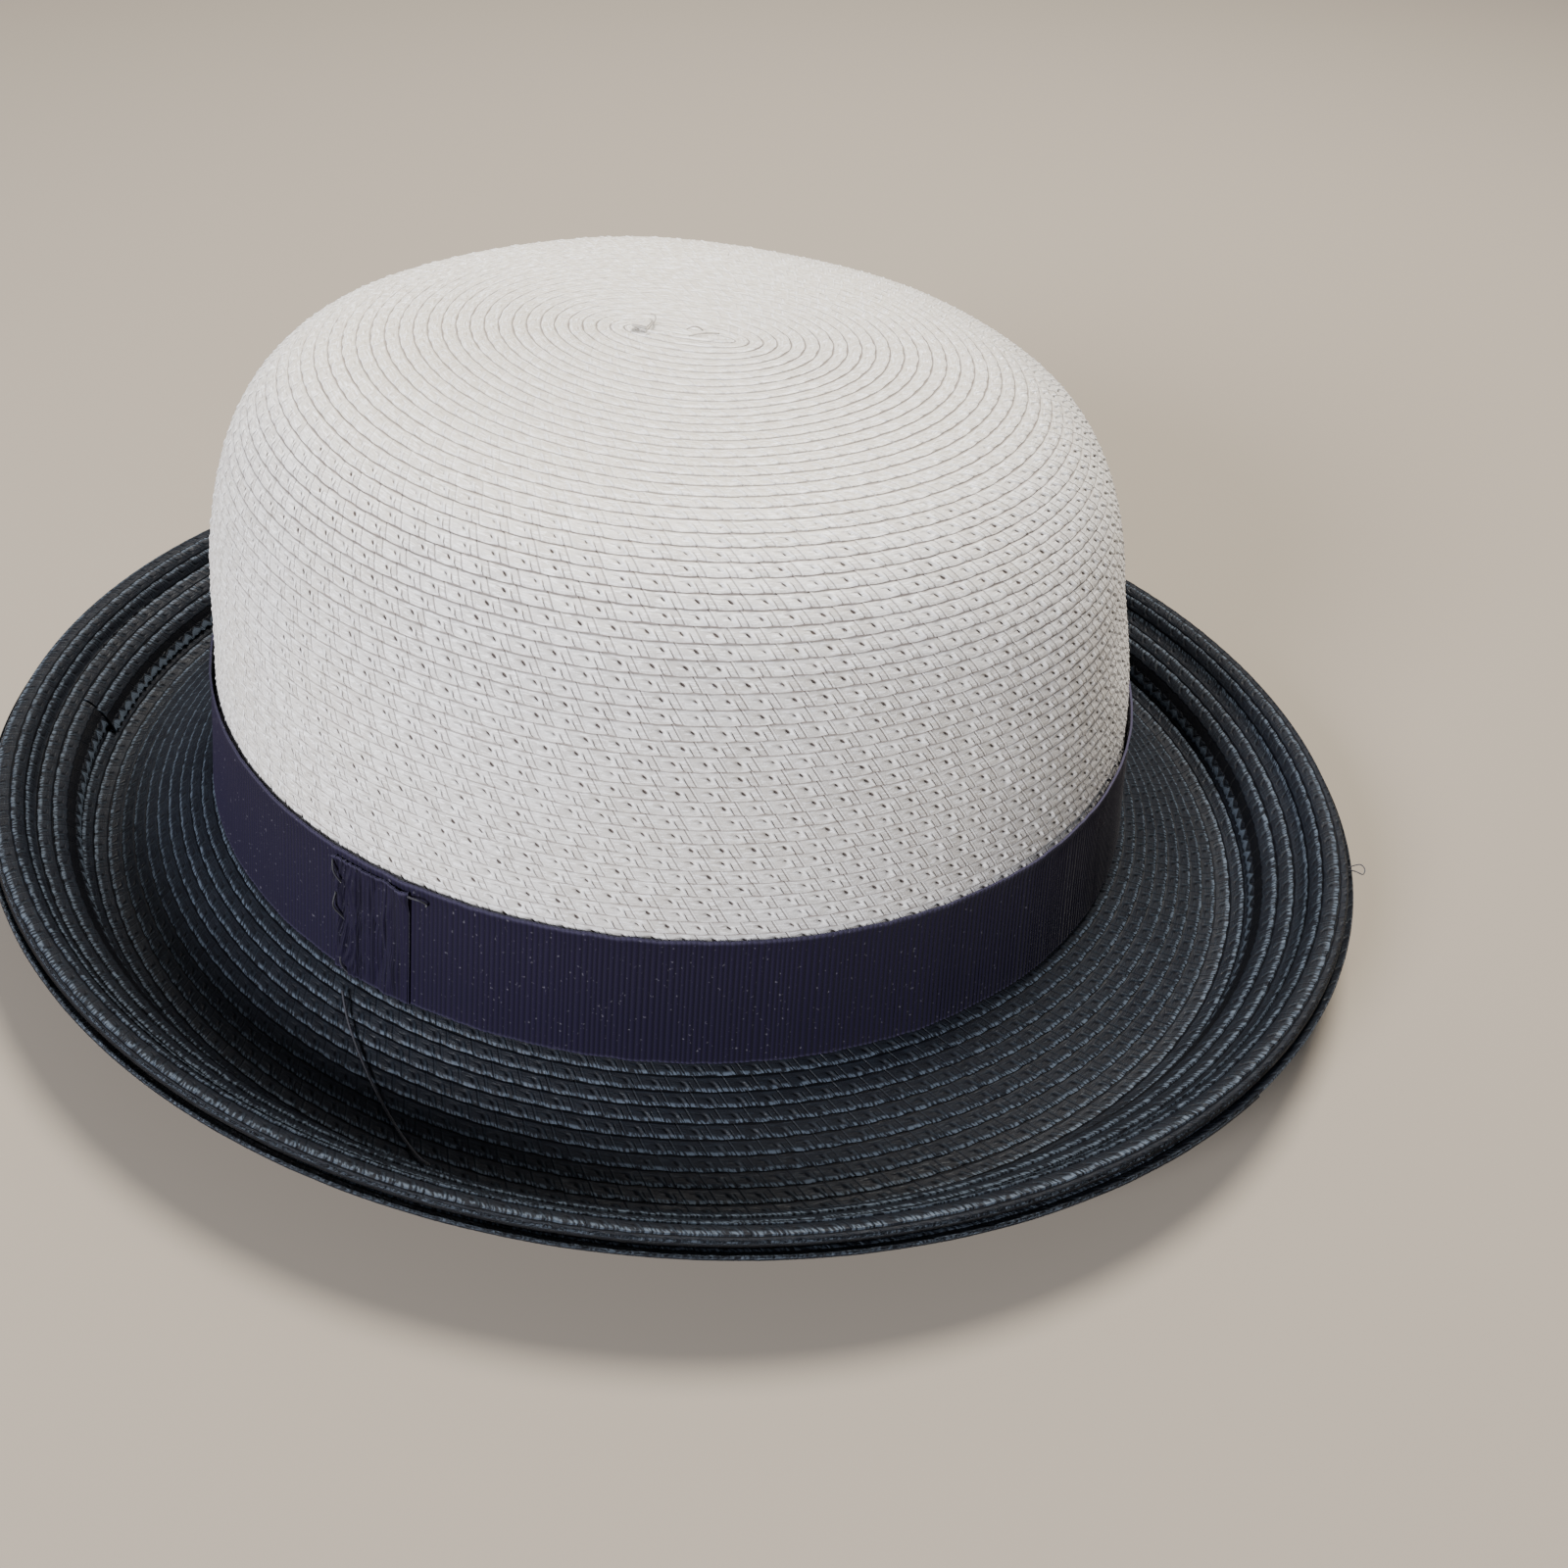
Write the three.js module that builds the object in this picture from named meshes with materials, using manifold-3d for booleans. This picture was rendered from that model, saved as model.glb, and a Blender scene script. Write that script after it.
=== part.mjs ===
// A two-tone sewn braid hat: ivory crown, navy rolled brim, grosgrain ribbon.
// Millimetres, +Z up. The hat stands on the underside of its brim at z = 0, the crown's
// long axis (front to back of the head) is X with the front at +X, and Y is across the head.
import * as THREE from 'three';
import { mergeVertices } from 'three/addons/utils/BufferGeometryUtils.js';
import Module from 'manifold-3d';

// ---- Driving dimensions ----
const headLong = 97.0;          // half length of the crown, outside, at the headline
const headWide = 89.2;          // half width of the crown, outside, at the headline
const headlineHeight = 14.0;    // bottom edge of the crown above the ground
const crownHeight = 95.7;       // headline to tip
const sideSquareness = 4.9;     // exponent that keeps the crown's sides upright
const tipSquareness = 3.0;      // exponent that rounds the crown into its tip
const crownWaist = 3.2;         // how far the sides draw in half way up

const braidThickness = 1.8;     // two overlapping layers of plaited straw
const rowPitch = 3.7;           // visible width of one braid row
const rowLip = 0.6;             // how far a row's lower edge stands off the next row
const collarHeight = 5.0;       // first brim row, sewn up inside the crown
const collarThickness = 1.6;

const brimSideReach = 39.4;     // crown to rim, across the head
const brimEndReach = 47.4;      // crown to rim, at the front and back
const rimHeight = 15.2;         // top of the rolled rim above the ground
const rimTilt = 2.6;            // extra height of the rim on the -Y side, less on the +Y side
const troughPlace = 0.52;       // share of the reach at which the brim touches the ground
const wallFootPlace = 0.65;     // share of the reach where the rolled wall starts to rise
const wallFootHeight = 4.0;
const wallTopPlace = 0.745;     // share of the reach where the wall turns out into the crest
const wallTopHeight = 9.4;
const restWidth = 4.0;          // flat ring pressed into the underside by the hat's weight
const restPress = 0.4;          // thickness the braid loses there
const slopeSag = 1.2;           // how far the inner slope hangs below a straight line

const facingWidth = 20.0;       // rows sewn back over the inside of the rolled rim
const facingInnerRow = 7.0;     // the last row lies on top, so its whole width shows
const facingThickness = 1.5;
const facingStandOff = 1.3;     // how far the facing's free edge lifts off the brim
const facingOverhang = 0.8;     // how far the facing passes the brim's own edge
const tailAngle = 190;          // degrees round from +X: where the last row is cut and tucked
const tailTaper = 7;            // degrees over which the tucked tail narrows away

const wireDiameter = 1.0;       // millinery wire in the rim
const wireInset = 3.0;          // from the rim's edge to the wire
const wireEndGap = 1.2;         // between the two ends of the wire
const joinerLength = 14.0;      // sleeve that joins the wire's ends
const joinerWall = 0.25;

const bandHeight = 27.2;        // grosgrain ribbon round the crown
const bandThickness = 0.7;
const bandFoot = 0.7;           // ribbon's bottom edge above the crown's bottom edge
const lapAngle = 249;           // degrees round from +X: middle of the ribbon's lapped join
const lapLength = 16.0;         // folded end lying over the other end
const lapDrop = 1.5;            // the folded end is a little narrower than the ribbon

const sweatbandHeight = 28.0;   // inner ribbon that touches the head
const sweatbandThickness = 0.6;
const sweatbandFoot = 1.4;      // reaches this far below the crown's bottom edge
const labelLength = 26.0;       // blank cloth label on the sweatband
const labelHeight = 13.0;
const labelThickness = 0.4;
const labelAngle = 180;         // at the back of the head

const threadDiameter = 0.45;    // loose end of the ribbon's sewing thread
const gap = 0.3;                // clearance between pieces that touch

// ---- Resolution of the curved surfaces ----
const columns = 36;
const lineSteps = 240;

// ---- Derived sizes ----
const longExtra = headLong - headWide;
const reachExtra = brimEndReach - brimSideReach;
const collarLift = -(braidThickness + gap);
const sweatbandLift = collarLift - collarThickness - gap;
const bandLift = rowLip + gap;
const joinerOuter = wireDiameter + 2 * (gap + joinerWall);
const tailTurn = Math.round(tailAngle / 360 * columns) / columns;
const headlinePerimeter = Math.PI * (headLong + headWide);

// ---- Meridians: half outlines measured outward from the headline ----

// Walks a list of points and answers with the place and the outward normal at any arc length.
function makeMeridian(points) {
  const arcs = [0];
  for (let i = 1; i < points.length; i++) {
    arcs.push(arcs[i - 1] + points[i].distanceTo(points[i - 1]));
  }
  const length = arcs[arcs.length - 1];
  function at(arc) {
    let i = 1;
    while (i < points.length - 1 && arcs[i] < arc) {
      i++;
    }
    const step = arcs[i] - arcs[i - 1];
    const share = (arc - arcs[i - 1]) / step;
    const from = points[i - 1];
    const to = points[i];
    return {
      out: from.x + (to.x - from.x) * share,
      z: from.y + (to.y - from.y) * share,
      normalOut: -(to.y - from.y) / step,
      normalUp: (to.x - from.x) / step,
    };
  }
  function arcOf(out) {
    return arcs[points.findIndex((point) => point.x >= out)];
  }
  return { length, at, arcOf };
}

// The crown from its tip down to the headline: a squared dome with a slight waist.
function crownPoints() {
  const points = [];
  for (let i = 0; i <= lineSteps; i++) {
    const climb = (1 - i / lineSteps) * Math.PI / 2;
    const height = Math.sin(climb) ** (2 / tipSquareness);
    const reach = i === 0 ? 0 : Math.cos(climb) ** (2 / sideSquareness);
    const waist = crownWaist * Math.sin(Math.PI * height);
    const out = Math.max(-headWide, -headWide * (1 - reach) - waist);
    points.push(new THREE.Vector2(out, headlineHeight + crownHeight * height));
  }
  return points;
}

// The brim from the headline out: down a slope, through the trough it stands on, up the roll.
function brimPoints() {
  const top = headlineHeight - gap;
  const trough = braidThickness - restPress;
  const troughOut = brimSideReach * troughPlace;
  const outline = new THREE.SplineCurve([
    new THREE.Vector2(0, top),
    new THREE.Vector2(troughOut * 0.5, (top + trough) / 2 - slopeSag),
    new THREE.Vector2(troughOut - restWidth / 2, trough),
    new THREE.Vector2(troughOut + restWidth / 2, trough),
    new THREE.Vector2(brimSideReach * wallFootPlace, wallFootHeight),
    new THREE.Vector2(brimSideReach * wallTopPlace, wallTopHeight),
    new THREE.Vector2(brimSideReach, rimHeight),
  ]);
  return outline.getPoints(lineSteps);
}

const crownLine = makeMeridian(crownPoints());
const brimLine = makeMeridian(brimPoints());

// ---- Places on the hat: arc length, lift along the normal, and turns round from +X ----

function onOval(out, z, turn, extra) {
  const angle = turn * 2 * Math.PI;
  const radius = Math.max(headWide + out, 0);
  return new THREE.Vector3((radius + extra) * Math.cos(angle), radius * Math.sin(angle), z);
}

function onCrown(arc, lift, turn) {
  const spot = crownLine.at(arc);
  const rise = arc === 0 ? 1 : spot.normalUp;
  return onOval(spot.out + lift * spot.normalOut, spot.z + lift * rise, turn, longExtra);
}

function onBrim(arc, lift, turn) {
  const spot = brimLine.at(arc);
  const share = Math.max(spot.out, 0) / brimSideReach;
  const rolled = Math.max(0, (share - troughPlace) / (1 - troughPlace));
  const tilt = -rimTilt * Math.sin(turn * 2 * Math.PI) * rolled ** 2;
  const z = Math.max(spot.z + lift * spot.normalUp + tilt, 0);
  return onOval(spot.out + lift * spot.normalOut, z, turn, longExtra + reachExtra * share);
}

// ---- Mesh helpers ----

// Merges shared corners, drops faces that have shrunk to nothing and turns the faces outward.
function closeSolid(geometry) {
  geometry.deleteAttribute('normal');
  geometry.deleteAttribute('uv');
  const merged = mergeVertices(geometry, 1e-4);
  const position = merged.attributes.position;
  const index = merged.index.array;
  const faces = [];
  const corners = [new THREE.Vector3(), new THREE.Vector3(), new THREE.Vector3()];
  let volume = 0;
  for (let i = 0; i < index.length; i += 3) {
    const [a, b, c] = [index[i], index[i + 1], index[i + 2]];
    if (a !== b && b !== c && c !== a) {
      faces.push(a, b, c);
      [a, b, c].forEach((vertex, n) => corners[n].fromBufferAttribute(position, vertex));
      volume += corners[0].dot(corners[1].cross(corners[2]));
    }
  }
  merged.setIndex(volume < 0 ? faces.reverse() : faces);
  merged.computeVertexNormals();
  return merged;
}

// A lathe whose points are placed by a function of the point's number and the turn.
function shapedLathe(count, place, turnOf = (column) => column / columns) {
  const outline = Array.from({ length: count }, (_, i) => new THREE.Vector2(1, i));
  const geometry = new THREE.LatheGeometry(outline, columns);
  const position = geometry.attributes.position;
  for (let column = 0; column <= columns; column++) {
    for (let i = 0; i < count; i++) {
      const spot = place(i, turnOf(column));
      position.setXYZ(column * count + i, spot.x, spot.y, spot.z);
    }
  }
  return closeSolid(geometry);
}

// Lathes an outline given as a list of functions of the turn.
function latheOutline(places) {
  return shapedLathe(places.length, (i, turn) => places[i](turn));
}

// Between two columns a lathed piece is flat, so what lies on it follows the same flats.
function onFlats(place, arc, lift, turn) {
  const step = turn * columns;
  const low = Math.floor(step);
  const from = place(arc, lift, low / columns);
  return from.lerp(place(arc, lift, (low + 1) / columns), step - low);
}

// A plate bent round the hat, with its two arcs along a meridian and its lift off the surface.
function bentPlate(place, middleTurn, length, arcFrom, arcTo, lift, thickness) {
  const geometry = new THREE.BoxGeometry(length, 1, 1, 5, 3, 1);
  const position = geometry.attributes.position;
  for (let i = 0; i < position.count; i++) {
    const turn = middleTurn + position.getX(i) / headlinePerimeter;
    const arc = arcTo + (arcFrom - arcTo) * (position.getY(i) + 0.5);
    const spot = onFlats(place, arc, lift + thickness * (position.getZ(i) + 0.5), turn);
    position.setXYZ(i, spot.x, spot.y, spot.z);
  }
  return closeSolid(geometry);
}

// ---- Joining and cutting ----
const wasm = await Module();
wasm.setup();

function toManifold(geometry) {
  const merged = mergeVertices(geometry, 1e-4);
  return new wasm.Manifold(new wasm.Mesh({
    numProp: 3,
    vertProperties: new Float32Array(merged.attributes.position.array),
    triVerts: new Uint32Array(merged.index.array),
  }));
}

function fromManifold(manifold) {
  const mesh = manifold.getMesh();
  const geometry = new THREE.BufferGeometry();
  geometry.setAttribute('position', new THREE.BufferAttribute(mesh.vertProperties, 3));
  geometry.setIndex(new THREE.BufferAttribute(mesh.triVerts, 1));
  geometry.computeVertexNormals();
  return geometry;
}

// Rows of braid sewn as one continuous spiral. Each turn of the lathe moves every row edge on
// by one pitch, so the end of a row runs into the start of the next, and rows that have
// reached a limit shrink onto it. A row's edge stands off by the lip and laps the next row.
function spiralRows(from, to, lift) {
  const count = Math.ceil((to - from) / rowPitch) + 1;
  function spot(row, turn, upper) {
    const arc = Math.min(Math.max(from + rowPitch * (row + turn), from), to);
    const fade = Math.min(1, (arc - from) / rowPitch, (to - arc) / rowPitch);
    return { arc, lift: upper ? lift + rowLip * fade : lift };
  }
  return { points: count * 2, at: (i, turn) => spot(Math.floor(i / 2), turn, i % 2 === 0) };
}

// ---- Pieces ----

// Crown: the spiral runs from the long tip stitch to the headline, over a smooth inside.
function crownBraid() {
  const rows = spiralRows(0, crownLine.length, 0);
  const insideShares = [1, 0.9, 0.8, 0.7, 0.62, 0.56, 0.5, 0.44, 0.36, 0.2, 0];
  const count = 1 + rows.points + insideShares.length;
  return shapedLathe(count, (i, turn) => {
    if (i === 0) {
      return onCrown(0, 0, turn);
    }
    if (i <= rows.points) {
      const spot = rows.at(i - 1, turn);
      return onCrown(spot.arc, spot.lift, turn);
    }
    const share = insideShares[i - 1 - rows.points];
    return onCrown(share * crownLine.length, -braidThickness, turn);
  });
}

// Brim: a collar inside the crown, spiral rows on top up to the facing, a smooth underside.
function brimBraid() {
  const under = -braidThickness;
  const collarTop = crownLine.length - collarHeight;
  const collarFoot = crownLine.length + gap;
  const coveredStart = brimLine.length - facingWidth + rowPitch;
  const rows = spiralRows(0, coveredStart, 0);
  const coveredShares = [0.35, 0.7, 1];
  const troughArc = brimLine.arcOf(brimSideReach * troughPlace);
  const inner = troughArc - restWidth / 2;
  const outer = troughArc + restWidth / 2;
  const rise = brimLine.length - outer;
  const underArcs = [1, 0.8, 0.6, 0.4, 0.2, 0].map((share) => outer + rise * share);
  underArcs.push(...[1, 0.8, 0.6, 0.35, 0].map((share) => inner * share));
  const places = [
    (turn) => onCrown(collarTop, collarLift, turn),
    (turn) => onCrown(collarFoot, collarLift, turn),
    (turn) => onBrim(0, 0, turn),
  ];
  for (let i = 0; i < rows.points; i++) {
    places.push((turn) => onBrim(rows.at(i, turn).arc, rows.at(i, turn).lift, turn));
  }
  for (const share of coveredShares) {
    const arc = coveredStart + (brimLine.length - coveredStart) * share;
    places.push((turn) => onBrim(arc, 0, turn));
  }
  for (const arc of underArcs) {
    places.push((turn) => onBrim(arc, under, turn));
  }
  places.push((turn) => onCrown(collarFoot, collarLift - collarThickness, turn));
  places.push((turn) => onCrown(collarTop, collarLift - collarThickness, turn));
  places.push(places[0]);
  return latheOutline(places);
}

// How far the facing's underside stands off the brim: its free edge lifts, and it arches
// over the wire.
function facingLift(arc) {
  const fromFree = arc - (brimLine.length - facingWidth);
  const fromWire = Math.abs(arc - (brimLine.length - wireInset));
  const standing = Math.max(0, 1 - fromFree / (1.5 * rowPitch));
  const arch = Math.sqrt(Math.max(0, 1 - fromWire / (2 * joinerOuter)));
  return gap + facingStandOff * standing + (joinerOuter + gap) * arch;
}

// Facing: the braid turned back over the rim in a spiral that works inward. Its free edge
// moves in by one row per turn, and its last end narrows away where it is tucked under.
function edgeFacing() {
  const taper = tailTaper / 360;
  const innermost = brimLine.length - facingWidth;
  const outerEdge = brimLine.length + facingOverhang;
  const wireArc = brimLine.length - wireInset;
  const turnOf = (column) => column === columns - 1 ? 1 - taper : column / columns;
  const freeArc = (along) => innermost + rowPitch * (along < 1 ? 1 - along : 1);
  const hidden = facingInnerRow - rowPitch;
  const rows = Math.ceil((facingWidth + facingOverhang - hidden) / rowPitch) + 1;
  const under = [outerEdge];
  for (const reach of [1.2, 0.5, 0, -0.5, -1.2, -2.1]) {
    under.push(wireArc + reach * joinerOuter);
  }
  under.push(innermost + 2.5 * rowPitch, innermost + 1.8 * rowPitch, innermost);
  const count = rows * 2 + 2 + under.length;
  return shapedLathe(count, (i, along) => {
    const turn = along + tailTurn;
    const free = freeArc(along);
    if (i === 0 || i === count - 1) {
      return onFlats(onBrim, free, facingLift(free) + facingThickness, turn);
    }
    if (i <= rows * 2) {
      const row = Math.floor((i - 1) / 2);
      const tucked = row === 0 && along === 1;
      const edge = tucked ? free : innermost + hidden + rowPitch * (row + 1 - along);
      const arc = Math.min(Math.max(edge, free), outerEdge);
      const fade = Math.min(1, (arc - free) / rowPitch, (outerEdge - arc) / rowPitch);
      const lip = i % 2 === 1 ? rowLip * fade : 0;
      return onFlats(onBrim, arc, facingLift(arc) + facingThickness + lip, turn);
    }
    const arc = Math.max(under[i - rows * 2 - 1], free);
    return onFlats(onBrim, arc, facingLift(arc), turn);
  }, turnOf);
}

// Wire: a ring inside the arch of the facing, opened where its two ends meet in the sleeve.
const wireTurn = tailTurn + 4.5 / columns;
const wireLift = gap + joinerOuter / 2;

function wireSpot(turn, side, height) {
  const arc = brimLine.length - wireInset + side;
  return onFlats(onBrim, arc, wireLift + height, turn);
}

function edgeWire() {
  const halfGap = wireEndGap / 2 / headlinePerimeter;
  const turns = [wireTurn + halfGap];
  for (let column = 0; column < columns; column++) {
    turns.push(wireTurn + (column + 0.5) / columns);
  }
  turns.push(wireTurn + 1 - halfGap);
  const bends = turns.length - 1;
  const radius = wireDiameter / 2;
  const tube = new THREE.CylinderGeometry(radius, radius, 1, 8, bends);
  const position = tube.attributes.position;
  for (let i = 0; i < position.count; i++) {
    const turn = turns[Math.round((0.5 - position.getY(i)) * bends)];
    const spot = wireSpot(turn, position.getX(i), position.getZ(i));
    position.setXYZ(i, spot.x, spot.y, spot.z);
  }
  return closeSolid(tube);
}

// The frame at the wire's opening: X along the wire, Z away from the brim.
function wireFrame() {
  const middle = wireSpot(wireTurn, 0, 0);
  const along = wireSpot(wireTurn + 0.1 / columns, 0, 0).sub(middle).normalize();
  const up = wireSpot(wireTurn, 0, 1).sub(middle).normalize();
  const across = new THREE.Vector3().crossVectors(up, along).normalize();
  up.crossVectors(along, across);
  return new THREE.Matrix4().makeBasis(along, across, up).setPosition(middle);
}

function wireJoiner() {
  const bore = wireDiameter / 2 + gap;
  const outer = joinerOuter / 2;
  const half = joinerLength / 2;
  const outline = [[bore, -half], [outer, -half], [outer, half], [bore, half], [bore, -half]];
  const sleeve = new THREE.LatheGeometry(outline.map(([x, y]) => new THREE.Vector2(x, y)), 16);
  sleeve.rotateZ(-Math.PI / 2);
  sleeve.applyMatrix4(wireFrame());
  return closeSolid(sleeve);
}

// Ribbon: a ring against the crown's rows with its folded end lapped over it.
function hatBand() {
  const foot = crownLine.length - bandFoot;
  const arcs = [1, 0.75, 0.5, 0.25, 0].map((share) => foot - bandHeight * share);
  const places = [];
  for (const arc of arcs) {
    places.push((turn) => onCrown(arc, bandLift + bandThickness, turn));
  }
  for (const arc of arcs.toReversed()) {
    places.push((turn) => onCrown(arc, bandLift, turn));
  }
  places.push(places[0]);
  const ring = toManifold(latheOutline(places));
  const bite = bandThickness / 2;
  const lap = bentPlate(onCrown, lapAngle / 360, lapLength, foot - bandHeight + lapDrop, foot - 0.2,
    bandLift + bandThickness - bite, bandThickness + bite);
  return fromManifold(ring.add(toManifold(lap)));
}

// Sweatband: the inner ribbon, clear of the crown's wall by the thickness of the collar.
function sweatband() {
  const foot = crownLine.length + sweatbandFoot;
  const arcs = [1, 0.7, 0.4, 0].map((share) => foot - sweatbandHeight * share);
  const places = [];
  for (const arc of arcs) {
    places.push((turn) => onCrown(arc, sweatbandLift, turn));
  }
  for (const arc of arcs.toReversed()) {
    places.push((turn) => onCrown(arc, sweatbandLift - sweatbandThickness, turn));
  }
  places.push(places[0]);
  return latheOutline(places);
}

function sweatbandLabel() {
  const middle = crownLine.length + sweatbandFoot - sweatbandHeight / 2;
  const lift = sweatbandLift - sweatbandThickness - gap - labelThickness;
  return bentPlate(onCrown, labelAngle / 360, labelLength, middle - labelHeight / 2,
    middle + labelHeight / 2, lift, labelThickness);
}

// Thread: a loose end that leaves the ribbon's lap and lies over the brim.
// Each stop is the share of the brim's slope passed, degrees round from +X and extra lift.
function looseThread() {
  const stops = [
    [0.08, 246.6, 0.8], [0.15, 248.6, 0.4], [0.22, 251.0, 0.15], [0.29, 253.6, 0.1],
    [0.36, 256.2, 0.1], [0.43, 258.9, 0.1], [0.49, 261.2, 0.2], [0.53, 262.6, 0.5],
  ];
  const clear = rowLip + gap + threadDiameter / 2;
  const points = stops.map(([share, degrees, lift]) => (
    onFlats(onBrim, share * brimLine.length, clear + lift, degrees / 360)
  ));
  const section = new THREE.Shape();
  section.absarc(0, 0, threadDiameter / 2, 0, 2 * Math.PI);
  const path = new THREE.CatmullRomCurve3(points);
  return closeSolid(new THREE.ExtrudeGeometry(section, {
    curveSegments: 8, steps: 34, bevelEnabled: false, extrudePath: path,
  }));
}

// ---- Colours and the finished group ----
const finishes = {
  ivoryStraw: { color: 0xd6d3cb, roughness: 0.55, metalness: 0 },
  navyStraw: { color: 0x2b2e3a, roughness: 0.45, metalness: 0 },
  navyRibbon: { color: 0x1f1b31, roughness: 0.75, metalness: 0 },
  innerRibbon: { color: 0x23222b, roughness: 0.85, metalness: 0 },
  labelCloth: { color: 0xd9d4c6, roughness: 0.8, metalness: 0 },
  wireSteel: { color: 0x9a9c9f, roughness: 0.35, metalness: 1 },
  navyThread: { color: 0x14141d, roughness: 0.7, metalness: 0 },
};

const hat = new THREE.Group();

function addPiece(name, geometry, finish) {
  const piece = new THREE.Mesh(geometry, new THREE.MeshStandardMaterial(finishes[finish]));
  piece.name = name;
  hat.add(piece);
}

addPiece('crown_braid', crownBraid(), 'ivoryStraw');
addPiece('brim_braid', brimBraid(), 'navyStraw');
addPiece('edge_facing', edgeFacing(), 'navyStraw');
addPiece('edge_wire', edgeWire(), 'wireSteel');
addPiece('wire_joiner', wireJoiner(), 'wireSteel');
addPiece('hat_band', hatBand(), 'navyRibbon');
addPiece('sweatband', sweatband(), 'innerRibbon');
addPiece('sweatband_label', sweatbandLabel(), 'labelCloth');
addPiece('loose_thread', looseThread(), 'navyThread');

export default hat;
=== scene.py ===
# %% [markdown]
# # A two-tone sewn braid hat
# The hat is one long plaited straw braid after another, sewn in a spiral: an ivory
# spiral for the crown, a navy one for the brim, and a third that folds over the rim.
# A grosgrain ribbon hides the join. This lesson builds each braid from a rule, with
# Geometry Nodes. Every row is real shape. The strands and pin-holes are shallow
# relief in the mesh, finished with painted shade, painted highlights and fine bumps,
# and no hole goes through.

import math

import bpy
import numpy as np
from mathutils import Matrix, Vector


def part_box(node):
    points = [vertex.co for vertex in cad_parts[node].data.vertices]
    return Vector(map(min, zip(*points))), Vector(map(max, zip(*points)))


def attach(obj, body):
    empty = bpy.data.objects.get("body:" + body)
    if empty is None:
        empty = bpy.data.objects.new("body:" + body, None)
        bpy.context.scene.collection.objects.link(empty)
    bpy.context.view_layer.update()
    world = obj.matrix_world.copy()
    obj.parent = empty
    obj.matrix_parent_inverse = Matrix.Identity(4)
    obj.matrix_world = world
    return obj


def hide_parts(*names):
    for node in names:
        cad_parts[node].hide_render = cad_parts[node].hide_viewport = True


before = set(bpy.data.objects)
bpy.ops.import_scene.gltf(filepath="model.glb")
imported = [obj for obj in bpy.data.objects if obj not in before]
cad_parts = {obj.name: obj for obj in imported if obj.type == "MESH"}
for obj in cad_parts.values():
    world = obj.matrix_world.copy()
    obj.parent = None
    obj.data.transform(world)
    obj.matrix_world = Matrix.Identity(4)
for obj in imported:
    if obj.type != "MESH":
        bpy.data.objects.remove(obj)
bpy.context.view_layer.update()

# %% [markdown]
# ## The hat's own sizes
# A milliner works from the head size. All places below are worked out from the
# half width of the head, the height of the crown and the reach of the brim.
# Everything is in metres. The rows are 2.6 mm apart. Those of the plain frame are
# 3.7 mm apart, which was found to be too wide only after the frame was finished.

# %% Sizes of the hat
MM = 0.001
HEAD_WIDE = 89.2 * MM
LONG_EXTRA = 7.8 * MM
HEADLINE = 14.0 * MM
CROWN_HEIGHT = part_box("crown_braid")[1].z - HEADLINE - 0.6 * MM
SIDE_SQUARENESS = 4.9
TIP_SQUARENESS = 3.0
CROWN_WAIST = 3.2 * MM
BRIM_REACH = 39.4 * MM
END_EXTRA = 8.0 * MM
RIM_HEIGHT = 15.2 * MM
RIM_TILT = 2.6 * MM
TROUGH_PLACE = 0.52
ROW = 2.6 * MM
BRAID_WIDTH = 7.0 * MM
STRAW = 0.55 * MM
LIP = 0.5 * MM
CELL = 4.8 * MM
WIRE_INSET = 3.0 * MM
FACING_WIDTH = 20.0 * MM
BAND_HEIGHT = 27.2 * MM
BAND_FOOT = 0.7 * MM
print("crown height", round(CROWN_HEIGHT, 4))

# %% [markdown]
# ## Camera
# The camera comes first, so that every piece can be judged from the same place.
# It stands a little to the right of the hat and looks down on it at 35 degrees.
# A small lens shift keeps the hat left of the middle without turning the camera.

# %% Camera
VIEW_TURN, VIEW_RISE, VIEW_ROLL = (math.radians(a) for a in (11.31, 35.03, 2.47))
VIEW_DISTANCE = 0.32087
LOOK_AT = Vector((0, 0, 0.0435))
LENS_MM = 34.94
LENS_SHIFT = (0.0726, -0.1012)


def camera_axes():
    """Right, up and back axes of the camera after its small roll."""
    back = Vector((
        math.sin(VIEW_TURN) * math.cos(VIEW_RISE),
        -math.cos(VIEW_TURN) * math.cos(VIEW_RISE),
        math.sin(VIEW_RISE),
    ))
    level = Vector((math.cos(VIEW_TURN), math.sin(VIEW_TURN), 0))
    up = back.cross(level)
    right = level * math.cos(VIEW_ROLL) + up * math.sin(VIEW_ROLL)
    return right, up * math.cos(VIEW_ROLL) - level * math.sin(VIEW_ROLL), back


lens = bpy.data.cameras.new("View")
lens.lens = LENS_MM
lens.sensor_width = 36
lens.shift_x, lens.shift_y = LENS_SHIFT
lens.clip_start = 0.01
camera = bpy.data.objects.new("View", lens)
bpy.context.scene.collection.objects.link(camera)
bpy.context.scene.camera = camera
right, up, back = camera_axes()
turned = Matrix((right, up, back)).transposed().to_4x4()
camera.matrix_world = Matrix.Translation(LOOK_AT + back * VIEW_DISTANCE) @ turned
print("camera at", [round(c, 3) for c in camera.location])

# %% [markdown]
# ## Two outlines
# A hat block is described by one outline, turned round the head. The crown's
# outline is a squared-off quarter circle with a slight waist. The brim's is a
# smooth curve down to the trough it stands on and up the rolled rim.

# %% Outlines of crown and brim
LINE_STEPS = 240


def crown_outline():
    """Points (out from the headline, up) from the tip down to the headline."""
    climb = np.linspace(math.pi / 2, 0, LINE_STEPS + 1)
    height = np.sin(climb) ** (2 / TIP_SQUARENESS)
    reach = np.cos(climb) ** (2 / SIDE_SQUARENESS)
    reach[0] = 0
    waist = CROWN_WAIST * np.sin(math.pi * height)
    out = np.maximum(-HEAD_WIDE, -HEAD_WIDE * (1 - reach) - waist)
    return np.column_stack([out, HEADLINE + CROWN_HEIGHT * height])


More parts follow.
